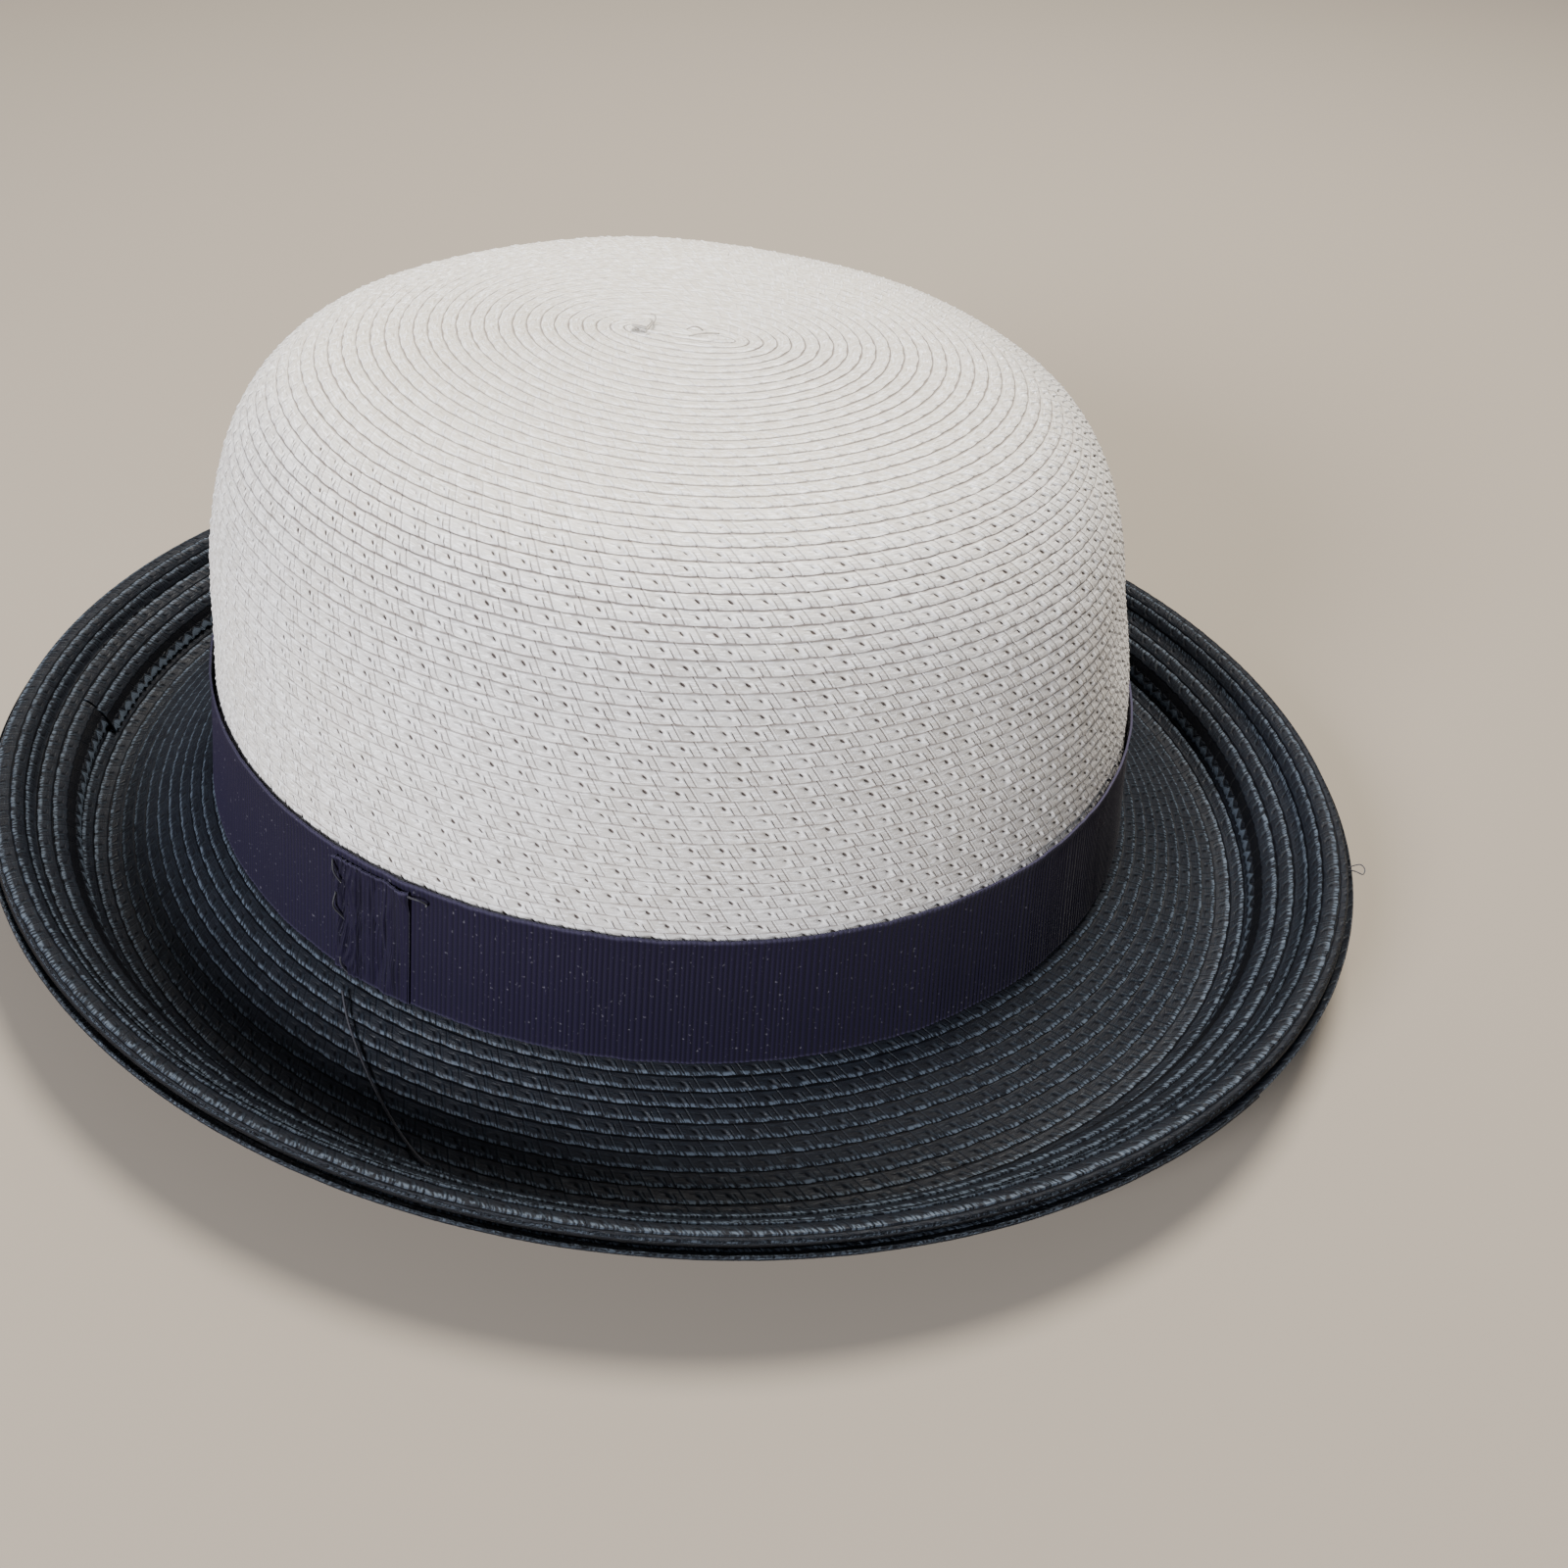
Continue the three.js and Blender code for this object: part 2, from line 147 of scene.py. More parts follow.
def smooth_through(stops):
    """A uniform Catmull-Rom curve through the stops."""
    stops = np.array(stops)
    padded = np.vstack([stops[:1], stops, stops[-1:]])
    points = []
    for t in np.linspace(0, len(stops) - 1, LINE_STEPS + 1):
        i = min(int(t), len(stops) - 2)
        w = t - i
        before, start, end, after = padded[i:i + 4]
        leave, arrive = (end - before) / 2, (after - start) / 2
        points.append(
            (2 * start - 2 * end + leave + arrive) * w ** 3
            + (-3 * start + 3 * end - 2 * leave - arrive) * w ** 2
            + leave * w + start
        )
    return np.array(points)


def brim_outline():
    """Points (out from the headline, up) over the brim's upper face."""
    top = HEADLINE - 0.3 * MM
    trough = 1.4 * MM
    trough_out = BRIM_REACH * TROUGH_PLACE
    return smooth_through([
        (0, top),
        (trough_out / 2, (top + trough) / 2 - 1.2 * MM),
        (trough_out - 2 * MM, trough),
        (trough_out + 2 * MM, trough),
        (BRIM_REACH * 0.65, 4.0 * MM),
        (BRIM_REACH * 0.745, 9.4 * MM),
        (BRIM_REACH, RIM_HEIGHT),
    ])


def length_of(points):
    return float(np.linalg.norm(np.diff(points, axis=0), axis=1).sum())


crown_line, brim_line = crown_outline(), brim_outline()
CROWN_LENGTH, BRIM_LENGTH = length_of(crown_line), length_of(brim_line)
print("outlines", round(CROWN_LENGTH, 4), round(BRIM_LENGTH, 4))

# %% [markdown]
# The outlines become guide curves, which the node trees read. The same places are
# also worked out in plain Python for the few pieces that aren't grown by a tree,
# such as the loose thread.

# %% Guide curves and places on the hat


def guide_curve(name, points):
    data = bpy.data.curves.new(name, "CURVE")
    data.dimensions = "3D"
    spline = data.splines.new("POLY")
    spline.points.add(len(points) - 1)
    for knot, (out, z) in zip(spline.points, points):
        knot.co = (out, 0, z, 1)
    guide = bpy.data.objects.new(name, data)
    bpy.context.scene.collection.objects.link(guide)
    return guide


def outline_at(points, arc):
    """Place and outward normal at a distance along an outline."""
    steps = np.linalg.norm(np.diff(points, axis=0), axis=1)
    along = np.concatenate([[0], np.cumsum(steps)])
    reach = 0.4 * MM
    spot, ahead, behind = (
        np.array([np.interp(place, along, points[:, i]) for i in (0, 1)])
        for place in (arc, arc + reach, arc - reach))
    tangent = (ahead - behind) / max(np.linalg.norm(ahead - behind), 1e-9)
    return spot, np.array([-tangent[1], tangent[0]])


def hat_point(points, arc, lift, degrees):
    """Where a distance along an outline lands on the hat."""
    spot, normal = outline_at(points, arc)
    angle = math.radians(degrees)
    out, z = spot + normal * lift
    share = max(out, 0) / BRIM_REACH
    rolled = max(0, (share - TROUGH_PLACE) / (1 - TROUGH_PLACE))
    radius = max(HEAD_WIDE + out, 0)
    extra = LONG_EXTRA + END_EXTRA * share
    tilt = -RIM_TILT * math.sin(angle) * rolled ** 2
    return Vector(((radius + extra) * math.cos(angle), radius * math.sin(angle), z + tilt))


BELOW = 4 * MM
crown_guide = guide_curve("crown guide", np.vstack([crown_line, [0, HEADLINE - BELOW]]))
brim_guide = guide_curve("brim guide", brim_line)
print("guides", crown_guide.name, brim_guide.name)

# %% [markdown]
# ## Sums written as nodes
# A node tree with a formula in it is slow to read as a list of nodes. This small
# class lets the formula be written as Python arithmetic: every `+`, `*` or sine
# adds one Math node. It works in Geometry Nodes and in shaders alike, so the same
# plait formula can shape the straw and paint it.

# %% A number that flows through a tree


class Flow:
    def __init__(self, tree, socket):
        self.tree, self.socket = tree, socket

    def math(self, operation, *others):
        node = self.tree.nodes.new("ShaderNodeMath")
        node.operation = operation
        for entry, value in zip(node.inputs, (self, *others)):
            if isinstance(value, Flow):
                self.tree.links.new(value.socket, entry)
            else:
                entry.default_value = value
        return Flow(self.tree, node.outputs[0])

    def __add__(self, other):
        return self.math("ADD", other)

    def __sub__(self, other):
        return self.math("SUBTRACT", other)

    def __mul__(self, other):
        return self.math("MULTIPLY", other)

    def __truediv__(self, other):
        return self.math("DIVIDE", other)

    def __rsub__(self, other):
        return self.math("MULTIPLY", -1) + other

    __radd__ = __add__
    __rmul__ = __mul__

    def at_least(self, other):
        return self.math("MAXIMUM", other)

    def at_most(self, other):
        return self.math("MINIMUM", other)

    def power(self, other):
        return self.math("POWER", other)

    def above(self, other):
        return self.math("GREATER_THAN", other)

    def sine(self):
        return self.math("SINE")

    def cosine(self):
        return self.math("COSINE")

    def floor(self):
        return self.math("FLOOR")

    def fraction(self):
        return self.math("FRACT")

    def size(self):
        return self.math("ABSOLUTE")

    def bump(self, middle, width):
        """1 at the middle, falling to 0 like a bell."""
        away = (self - middle) / width
        return (away * away * -1).math("EXPONENT")

    def ramp(self, low, high):
        """0 below low, 1 above high, smooth between."""
        t = ((self - low) / (high - low)).at_least(0).at_most(1)
        return t * t * (3 - 2 * t)


# %% [markdown]
# ## The plait
# Synthetic straw braid repeats every 4.8 mm. Each cell shows a small slanting
# pin-hole, one raised bright strand beside it, a thin gap, and then a broad flat
# strand. The formula takes the distance along the braid, in cells, and the depth
# down the row from 0 to 1, and gives a mask for each feature.

# %% The plait formula
SLANT = 0.36
HOLE_PLACE = 0.30
HOLE_TURN = math.radians(38)


def plait(along, depth):
    """Masks of the plait: hole, strand, gap, ridge and notch, each from 0 to 1."""
    lean = (depth - 0.5) * SLANT
    place = (along - lean).fraction()
    right_mm = (place + lean - HOLE_PLACE) * (CELL / MM)
    down_mm = (depth - 0.52) * (ROW / MM)
    long_way = right_mm * math.cos(HOLE_TURN) + down_mm * math.sin(HOLE_TURN)
    short_way = down_mm * math.cos(HOLE_TURN) - right_mm * math.sin(HOLE_TURN)
    hole = long_way.bump(0, 0.60) * short_way.bump(0, 0.20)
    low = (depth - 0.4) / 0.6
    strand = (place - low * low * 0.07).bump(HOLE_PLACE + 0.14, 0.055) * depth.ramp(0.25, 0.5)
    strand = strand * (1 - depth.ramp(0.92, 1.02))
    gap = place.bump(HOLE_PLACE + 0.47, 0.024) * 0.8
    beside = (place + low * 0.02).bump(HOLE_PLACE + 0.235, 0.018) * depth.ramp(0.3, 0.6)
    ridge = place.bump(HOLE_PLACE + 0.53, 0.04)
    notch = place.bump(HOLE_PLACE - 0.14, 0.11) * depth.bump(0.40, 0.045)
    return {
        "hole": hole, "strand": strand, "gap": gap.at_least(beside),
        "ridge": ridge, "notch": notch,
    }


print("plait cell", CELL)

# %% [markdown]
# ## One tree grows every braid
# A braid is a long closed ribbon, so the tree starts from a straight line, gives
# it a ring of points with Curve to Mesh, and then moves every point by its number:
# which column it is in tells how far round the spiral it sits, and which place in
# the ring tells how far across the braid. The row's outer edge always lies on top
# of the next row, as it does when the braid is sewn.

# %% Helpers for Geometry Nodes trees


def new_tree(name, sizes):
    """A tree with named inputs. Returns the tree and its inputs by name."""
    tree = bpy.data.node_groups.new(name, "GeometryNodeTree")
    tree.interface.new_socket("Geometry", in_out="INPUT", socket_type="NodeSocketGeometry")
    kinds = {int: "NodeSocketInt", float: "NodeSocketFloat"}
    for label, value in sizes.items():
        kind = kinds.get(type(value), value)
        entry = tree.interface.new_socket(label, in_out="INPUT", socket_type=kind)
        if type(value) in kinds:
            entry.default_value = value
    tree.interface.new_socket("Geometry", in_out="OUTPUT", socket_type="NodeSocketGeometry")
    entrance = tree.nodes.new("NodeGroupInput")
    return tree, {label: Flow(tree, entrance.outputs[label]) for label in sizes}


def add_node(tree, kind, links=(), **settings):
    """A node with its settings made and its sockets linked or filled."""
    node = tree.nodes.new(kind)
    for key, value in settings.items():
        setattr(node, key, value)
    for key, value in dict(links).items():
        entry = node.inputs[key]
        if isinstance(value, Flow):
            value = value.socket
        if isinstance(value, bpy.types.NodeSocket):
            tree.links.new(value, entry)
        else:
            entry.default_value = value
    return node


def long_tube(tree, columns, ring):
    """A closed tube of that many columns, and each point's column and ring number."""
    line = add_node(tree, "GeometryNodeCurvePrimitiveLine")
    cut = add_node(tree, "GeometryNodeResampleCurve",
                   {"Curve": line.outputs["Curve"], "Count": columns}, mode="COUNT")
    circle = add_node(tree, "GeometryNodeCurvePrimitiveCircle", {"Resolution": ring})
    tube = add_node(tree, "GeometryNodeCurveToMesh", {
        "Curve": cut.outputs["Curve"],
        "Profile Curve": circle.outputs["Curve"],
        "Fill Caps": True,
    })
    number = Flow(tree, add_node(tree, "GeometryNodeInputIndex").outputs["Index"])
    column = ((number + 0.5) / ring).floor()
    return tube.outputs["Mesh"], column, number - column * ring


def round_the_ring(size, ring, spot):
    """Which points are on the upper face, and how far across the strip each lies."""
    upper = 1 - spot.above(size["Upper Points"] - 0.5)
    over = (spot / (size["Upper Points"] - 1)).at_most(1)
    under = (ring - 1 - spot) / (size["Lower Points"] - 1)
    return upper, over * upper + under * (1 - upper)


def place_on_hat(tree, guide, arc, lift, angle, sizes):
    """The formula that lays an outline round the head, as nodes."""
    shape = add_node(tree, "GeometryNodeObjectInfo", {"Object": guide})
    sample = add_node(tree, "GeometryNodeSampleCurve",
                      {"Curves": shape.outputs["Geometry"], "Length": arc}, mode="LENGTH")
    spot = add_node(tree, "ShaderNodeSeparateXYZ", {"Vector": sample.outputs["Position"]})
    way = add_node(tree, "ShaderNodeSeparateXYZ", {"Vector": sample.outputs["Tangent"]})
    out = Flow(tree, spot.outputs["X"]) - lift * Flow(tree, way.outputs["Z"])
    high = Flow(tree, spot.outputs["Z"]) + lift * Flow(tree, way.outputs["X"])
    share = out.at_least(0) / BRIM_REACH
    rolled = ((share - TROUGH_PLACE) / (1 - TROUGH_PLACE)).at_least(0)
    radius = (out + HEAD_WIDE).at_least(0)
    extra = share * END_EXTRA + LONG_EXTRA
    tilt = angle.sine() * rolled * rolled * -RIM_TILT
    joined = add_node(tree, "ShaderNodeCombineXYZ", {
        "X": (radius + extra) * angle.cosine(),
        "Y": radius * angle.sine(),
        "Z": (high + tilt).at_least(sizes["Ground"]),
    })
    return joined.outputs["Vector"], radius + extra * 0.5


def noise(tree, where, scale, seed, detail=1.0):
    """Smooth noise about 0 along one number."""
    node = add_node(tree, "ShaderNodeTexNoise",
                    {"W": where * scale + seed, "Scale": 1.0, "Detail": detail},
                    noise_dimensions="1D")
    return Flow(tree, node.outputs[0]) - 0.5


def finish_tree(tree, mesh, place, along, depth, material):
    """Moves the points, keeps the pattern's own coordinates, sets the material."""
    marks = add_node(tree, "ShaderNodeCombineXYZ", {"X": along, "Y": depth})
    on_points = add_node(tree, "GeometryNodeFieldOnDomain",
                         {"Value": marks.outputs["Vector"]},
                         data_type="FLOAT_VECTOR", domain="POINT")
    stored = add_node(tree, "GeometryNodeStoreNamedAttribute", {
        "Geometry": mesh, "Name": "Braid", "Value": on_points.outputs["Value"],
    }, data_type="FLOAT2", domain="CORNER")
    moved = add_node(tree, "GeometryNodeSetPosition", {
        "Geometry": stored.outputs["Geometry"], "Position": place,
    })
    real = add_node(tree, "GeometryNodeRealizeInstances",
                    {"Geometry": moved.outputs["Geometry"]})
    painted = add_node(tree, "GeometryNodeSetMaterial", {
        "Geometry": real.outputs["Geometry"], "Material": material,
    })
    leave = tree.nodes.new("NodeGroupOutput")
    tree.links.new(painted.outputs["Geometry"], leave.inputs["Geometry"])


def grow(name, tree, values, crease=50):
    """Runs a tree once and keeps the result as a plain mesh."""
    host = bpy.data.objects.new(name + " host", bpy.data.meshes.new(name + " host"))
    bpy.context.scene.collection.objects.link(host)
    modifier = host.modifiers.new("Grow", "NODES")
    modifier.node_group = tree
    for item in tree.interface.items_tree:
        if item.in_out == "INPUT" and item.name in values:
            modifier[item.identifier] = values[item.name]
    host.update_tag()
    graph = bpy.context.evaluated_depsgraph_get()
    mesh = bpy.data.meshes.new_from_object(
        host.evaluated_get(graph), preserve_all_data_layers=True, depsgraph=graph)
    bpy.data.objects.remove(host)
    piece = bpy.data.objects.new(name, mesh)
    bpy.context.scene.collection.objects.link(piece)
    face_outwards(mesh)
    mesh.shade_smooth()
    mesh.set_sharp_from_angle(angle=math.radians(crease))
    mesh.calc_loop_triangles()
    print(name, len(mesh.loop_triangles), "triangles")
    return piece


def face_outwards(mesh):
    """Turns the faces over if the closed mesh has a negative volume."""
    spots = np.empty(len(mesh.vertices) * 3)
    mesh.vertices.foreach_get("co", spots)
    spots = spots.reshape(-1, 3)
    mesh.calc_loop_triangles()
    corners = np.empty(len(mesh.loop_triangles) * 3, int)
    mesh.loop_triangles.foreach_get("vertices", corners)
    a, b, c = spots[corners.reshape(-1, 3)].transpose(1, 0, 2)
    if np.einsum("ij,ij->i", a, np.cross(b, c)).sum() < 0:
        mesh.flip_normals()


# %% [markdown]
# The braid tree itself. The ring has its upper points first and its lower points
# last. The braid is tilted so that its outer edge lies over the next row, and the
# plait formula presses dents and raises strands in the upper face. Neighbouring rows
# cut into each other a little, where real straw would be pressed flat.

# %% The braid tree
WIRE_HALF_WIDTH = 4.2 * MM
DENT_SCALE = 11.0
CROWN_LEAN = -3.5
BRAID_SIZES = {
    "Guide": "NodeSocketObject",
    "Start Turn": 0.0,
    "Turns": 1.0,
    "Columns Per Turn": 600,
    "Upper Points": 9,
    "Lower Points": 2,
    "Start Angle": 0.0,
    "First Edge": 0.0,
    "Row Step": ROW,
    "Width": ROW + 0.7 * MM,
    "Arc Limit": 1.0,
    "Foot": -STRAW,
    "Shingle": LIP,
    "Thickness": STRAW,
    "Relief": 1.0,
    "Calm Arc": 0.1 * MM,
    "Unevenness": 0.12 * MM,
    "Wire Place": 0.0,
    "Wire Lift": 0.0,
    "Teeth": 0.0,
    "Dents": 0.0,
    "Ground": -1.0,
    "Seed": 0.0,
    "Material": "NodeSocketMaterial",
}


def braid_tree():
    tree, size = new_tree("Sewn braid", BRAID_SIZES)
    ring = size["Upper Points"] + size["Lower Points"]
    columns = (size["Turns"] * size["Columns Per Turn"]).floor() + 1
    mesh, column, spot = long_tube(tree, columns, ring)
    turn = column / size["Columns Per Turn"] + size["Start Turn"]
    angle = turn * 2 * math.pi + size["Start Angle"]
    upper, across = round_the_ring(size, ring, spot)

    edge = size["First Edge"] + size["Row Step"] * turn
    walk = (edge.at_least(0.5 * MM) - size["Width"]).at_least(0)
    _, radius = place_on_hat(tree, size["Guide"], walk, walk * 0, angle, size)
    step = radius * (2 * math.pi) / size["Columns Per Turn"] / ring
    count = add_node(tree, "GeometryNodeAccumulateField", {"Value": step})
    along = Flow(tree, count.outputs["Leading"]) / CELL
    along = along + noise(tree, turn, 9.0, size["Seed"] + 4.0, 2.0) * 0.5

    wander = noise(tree, turn, 37.0, size["Seed"]) * size["Unevenness"] * 2
    wander = wander + (along * 2 * math.pi).sine() * size["Unevenness"] * 0.6
    teeth = (along * math.pi * 2).sine().size() * size["Teeth"] * (1 - across)
    arc = edge + wander * across - size["Width"] * (1 - across) + teeth
    arc = arc.at_least(0).at_most(size["Arc Limit"])
    shown = size["Row Step"].size() / size["Width"]
    depth = (across - (1 - shown)) / shown

    rise = size["Foot"] + size["Shingle"] * across
    near = 1 - ((arc - size["Wire Place"]).size() / WIRE_HALF_WIDTH)
    rise = rise + near.at_least(0).power(0.5) * size["Wire Lift"]
    rise = rise + noise(tree, turn, 83.0, size["Seed"] + 9.0) * size["Unevenness"]
    base, _ = place_on_hat(tree, size["Guide"], arc, rise, angle, size)
    dents = add_node(tree, "ShaderNodeTexNoise", {
        "Vector": base, "Scale": DENT_SCALE, "Detail": 1.0,
    })
    free = 1 - arc.ramp(CROWN_LENGTH - 60 * MM, CROWN_LENGTH - 30 * MM)
    sideways = add_node(tree, "ShaderNodeSeparateXYZ", {"Vector": base})
    lean = Flow(tree, sideways.outputs["X"]) * CROWN_LEAN
    uneven = Flow(tree, dents.outputs[0]) - 0.5 + lean
    rise = rise + uneven * free * size["Dents"]

    marks = plait(along, depth)
    rounded = 1 - ((across - 0.5) * 2).size().power(5) * 0.45
    relief = (
        marks["strand"] * 0.22 - marks["hole"] * 0.62 - marks["notch"] * 0.08
        - marks["gap"] * 0.12 + marks["ridge"] * 0.12
    ) * size["Relief"] * arc.ramp(size["Calm Arc"] * 0.4, size["Calm Arc"]) * MM
    lift = rise + upper * (size["Thickness"] * rounded + relief)
    lift = lift - (1 - upper) * relief * 0.5
    place, _ = place_on_hat(tree, size["Guide"], arc, lift, angle, size)
    finish_tree(tree, mesh, place, along, depth, size["Material"])
    return tree


sewn_braid = braid_tree()
print("braid tree", len(sewn_braid.nodes), "nodes")

# %% [markdown]
# ## Materials: shared effects
# Effects that several finishes use are shader groups: the plait's painted marks,
# a fine fibre grain, and dust that has settled in the hollows.

# %% Shader groups


def new_shader_group(name, inputs, outputs):
    tree = bpy.data.node_groups.new(name, "ShaderNodeTree")
    for label, value in inputs.items():
        kind = "NodeSocketVector" if isinstance(value, tuple) else "NodeSocketFloat"
        entry = tree.interface.new_socket(label, in_out="INPUT", socket_type=kind)
        entry.default_value = value
    for label, kind in outputs.items():
        tree.interface.new_socket(label, in_out="OUTPUT", socket_type=kind)
    entrance = tree.nodes.new("NodeGroupInput")
    leave = tree.nodes.new("NodeGroupOutput")
    return tree, {k: Flow(tree, entrance.outputs[k]) for k in inputs}, leave


def shader_noise(tree, where, scale, detail=3.0):
    node = add_node(tree, "ShaderNodeTexNoise",
                    {"Vector": where, "Scale": scale, "Detail": detail})
    return Flow(tree, node.outputs[0])


FREE_DEPTH = BRAID_WIDTH / ROW - 1  # in rows, how far the free edge reaches past its own row


def plait_marks_group():
    """Masks of the plait from the braid's own coordinates."""
    masks = ("Hole", "Strand", "Gap", "Tuck", "Edge", "Cell", "Streak", "Twist", "Point",
             "Height")
    tree, size, leave = new_shader_group(
        "Plait marks", {"Braid": (0.0, 0.0, 0.0), "Openness": 1.0},
        dict.fromkeys(masks, "NodeSocketFloat"))
    parts = add_node(tree, "ShaderNodeSeparateXYZ", {"Vector": size["Braid"]})
    along, depth = Flow(tree, parts.outputs["X"]), Flow(tree, parts.outputs["Y"])
    marks = plait(along, depth)
    flats = (along - (depth - 0.5) * SLANT - HOLE_PLACE) * 2
    random = add_node(tree, "ShaderNodeTexWhiteNoise", {"W": flats.floor()},
                      noise_dimensions="1D")

    def fine(across_rate, down_rate, skew, detail):
        where = add_node(tree, "ShaderNodeCombineXYZ", {
            "X": (along - depth * skew) * across_rate, "Y": depth * down_rate,
            "Z": along.floor() * 0.37,
        })
        return shader_noise(tree, where.outputs["Vector"], 1.0, detail)

    streak = fine(2.6, 8.0, 0.1, 2.0)
    twist = fine(11.0, 2.2, SLANT, 1.0)
    fibres = fine(6.0, 26.0, 0.05, 2.0)
    open_cell = Flow(tree, random.outputs["Value"]) * 0.55 + 0.55
    marks["hole"] = marks["hole"] * open_cell.at_most(1) * size["Openness"]
    marks["gap"] = marks["gap"] * size["Openness"]
    free = 1 - depth.ramp(-0.75, -0.65)
    level = depth / -FREE_DEPTH
    wave = ((along * 1.3).fraction() - 0.5).size() * 2
    folded = free * (level - wave * 0.55).bump(0.22, 0.06)
    tuck = (1 - depth.ramp(0.04, 0.17)) * (1 - free)
    point = free * (level - 0.42 - wave * 0.42).ramp(0.0, 0.06)
    height = (
        marks["strand"] * 0.9 + marks["ridge"] * 0.35 - marks["hole"] * 1.7
        - marks["gap"] * 1.0 - marks["notch"] * 0.4 + fibres * 0.35 + streak * 0.5
        - folded * 1.6 - tuck * 0.9
    )
    found = {
        "Hole": marks["hole"].ramp(0.2, 0.6),
        "Strand": marks["strand"].at_least(marks["ridge"] * 0.4),
        "Gap": marks["gap"].at_least(marks["notch"] * 0.5).at_least(folded),
        "Tuck": tuck,
        "Point": point,
        "Edge": depth.ramp(0.70, 0.88) * (1 - depth.ramp(0.97, 1.05)),
        "Cell": Flow(tree, random.outputs["Value"]),
        "Streak": streak.ramp(0.5, 0.66),
        "Twist": twist.ramp(0.42, 0.60),
        "Height": height,
    }
    for label, flow in found.items():
        tree.links.new(flow.socket, leave.inputs[label])
    return tree


def settled_dust_group():
    """Blotches and fine specks that lie on the surface, as two masks."""
    tree, size, leave = new_shader_group(
        "Settled dust", {"Where": (0.0, 0.0, 0.0), "Blotch": 30.0, "Speck": 900.0},
        {"Blotches": "NodeSocketFloat", "Specks": "NodeSocketFloat"})
    blotch = shader_noise(tree, size["Where"], size["Blotch"]).ramp(0.35, 0.7)
    speck = shader_noise(tree, size["Where"], size["Speck"], 1.0).ramp(0.68, 0.8)
    tree.links.new(blotch.socket, leave.inputs["Blotches"])
    tree.links.new(speck.socket, leave.inputs["Specks"])
    return tree


plait_marks = plait_marks_group()
settled_dust = settled_dust_group()
print("shader groups", plait_marks.name, settled_dust.name)

# %% [markdown]
# ## Straw finishes
# The ivory straw is a glossy synthetic. Its hollows, gaps and pin-holes carry painted
# warm shade, and its strands, streaks and row edges painted highlights. The navy straw
# is nearly black, with painted blue-grey glints along the edges of its rows and on the
# triangles of the one free edge that shows its whole width. Both read the plait's marks
# from the braid's own coordinates, so the paint and the relief stay together.

# %% Straw materials
TIP_FROM, TIP_FULL = 97 * MM, 109 * MM


def new_material(name, **fixed):
    """A Principled material whose constant values are set on its own sockets."""
    material = bpy.data.materials.new(name)
    material.use_nodes = True
    shader = material.node_tree.nodes["Principled BSDF"]
    for label, value in fixed.items():
        shader.inputs[label.replace("_", " ")].default_value = value
    return material, material.node_tree, shader


def use_group(tree, group, links):
    node = add_node(tree, "ShaderNodeGroup", links, node_tree=group)
    return {entry.name: Flow(tree, entry) for entry in node.outputs}


def blend(tree, share, first, second):
    """Mixes two colours, each a socket or three numbers, by a mask."""
    first, second = ((*c, 1) if isinstance(c, tuple) else c for c in (first, second))
    node = add_node(tree, "ShaderNodeMix", {0: share, 6: first, 7: second}, data_type="RGBA")
    return node.outputs[2]


def own_marks(tree):
    return add_node(tree, "ShaderNodeUVMap", uv_map="Braid").outputs["UV"]


def object_place(tree):
    return add_node(tree, "ShaderNodeTexCoord").outputs["Object"]


def add_bump(tree, shader, height, strength, distance):
    node = add_node(tree, "ShaderNodeBump",
                    {"Height": height, "Strength": strength, "Distance": distance})
    tree.links.new(node.outputs["Normal"], shader.inputs["Normal"])


def straw_material(name, paint, rough, gloss_drop, bump, **fixed):
    """Plaited straw: face colours, painted shade in its hollows, painted highlights on bright
    strands, and a fibre grain.
    """
    material, tree, shader = new_material(name, **fixed)
    place = add_node(tree, "ShaderNodeSeparateXYZ", {"Vector": object_place(tree)})
    high = Flow(tree, place.outputs["Z"]).ramp(TIP_FROM, TIP_FULL)
    marks = use_group(tree, plait_marks, {
        "Braid": own_marks(tree), "Openness": 1 - high * 0.75,
    })
    dust = use_group(tree, settled_dust, {"Where": object_place(tree)})
    colour = blend(tree, marks["Cell"] * 0.75, paint["face"], paint["shade"])
    # The crown straw turns warmer and darker towards the tip; dust blotches take the same tint.
    colour = blend(tree, high * 0.6, colour, paint["tint"])
    colour = blend(tree, dust["Blotches"] * 0.3, colour, paint["tint"])
    # Painted highlights: pale streaks where the gloss would shine, the raised strand beside each
    # hole, and glints along the row edges and on the free edge's points.
    colour = blend(tree, marks["Streak"] * paint["streak_highlight"], colour, paint["strand"])
    colour = blend(tree, marks["Strand"] * 0.85, colour, paint["strand"])
    edge_glint = marks["Edge"] * marks["Twist"] * paint["edge_glint"]
    colour = blend(tree, edge_glint, colour, paint["glint"])
    colour = blend(tree, marks["Point"] * 0.6, colour, paint["glint"])
    # Painted shadow under the row above and in the slanting gaps, and painted shade in the
    # shallow pin-holes.
    colour = blend(tree, marks["Tuck"] * 0.85, colour, paint["groove_shadow"])
    colour = blend(tree, marks["Gap"] * paint["gap_shadow"], colour, paint["groove_shadow"])
    colour = blend(tree, marks["Hole"] * paint["hole_shading"], colour, paint["hole_shade"])
    tree.links.new(colour, shader.inputs["Base Color"])
    gloss = marks["Hole"] * 0.4 + marks["Cell"] * 0.1 + dust["Blotches"] * 0.06 + rough
    gloss = gloss - marks["Streak"] * gloss_drop
    tree.links.new(gloss.socket, shader.inputs["Roughness"])
    add_bump(tree, shader, marks["Height"], bump, 0.22 * MM)
    return material


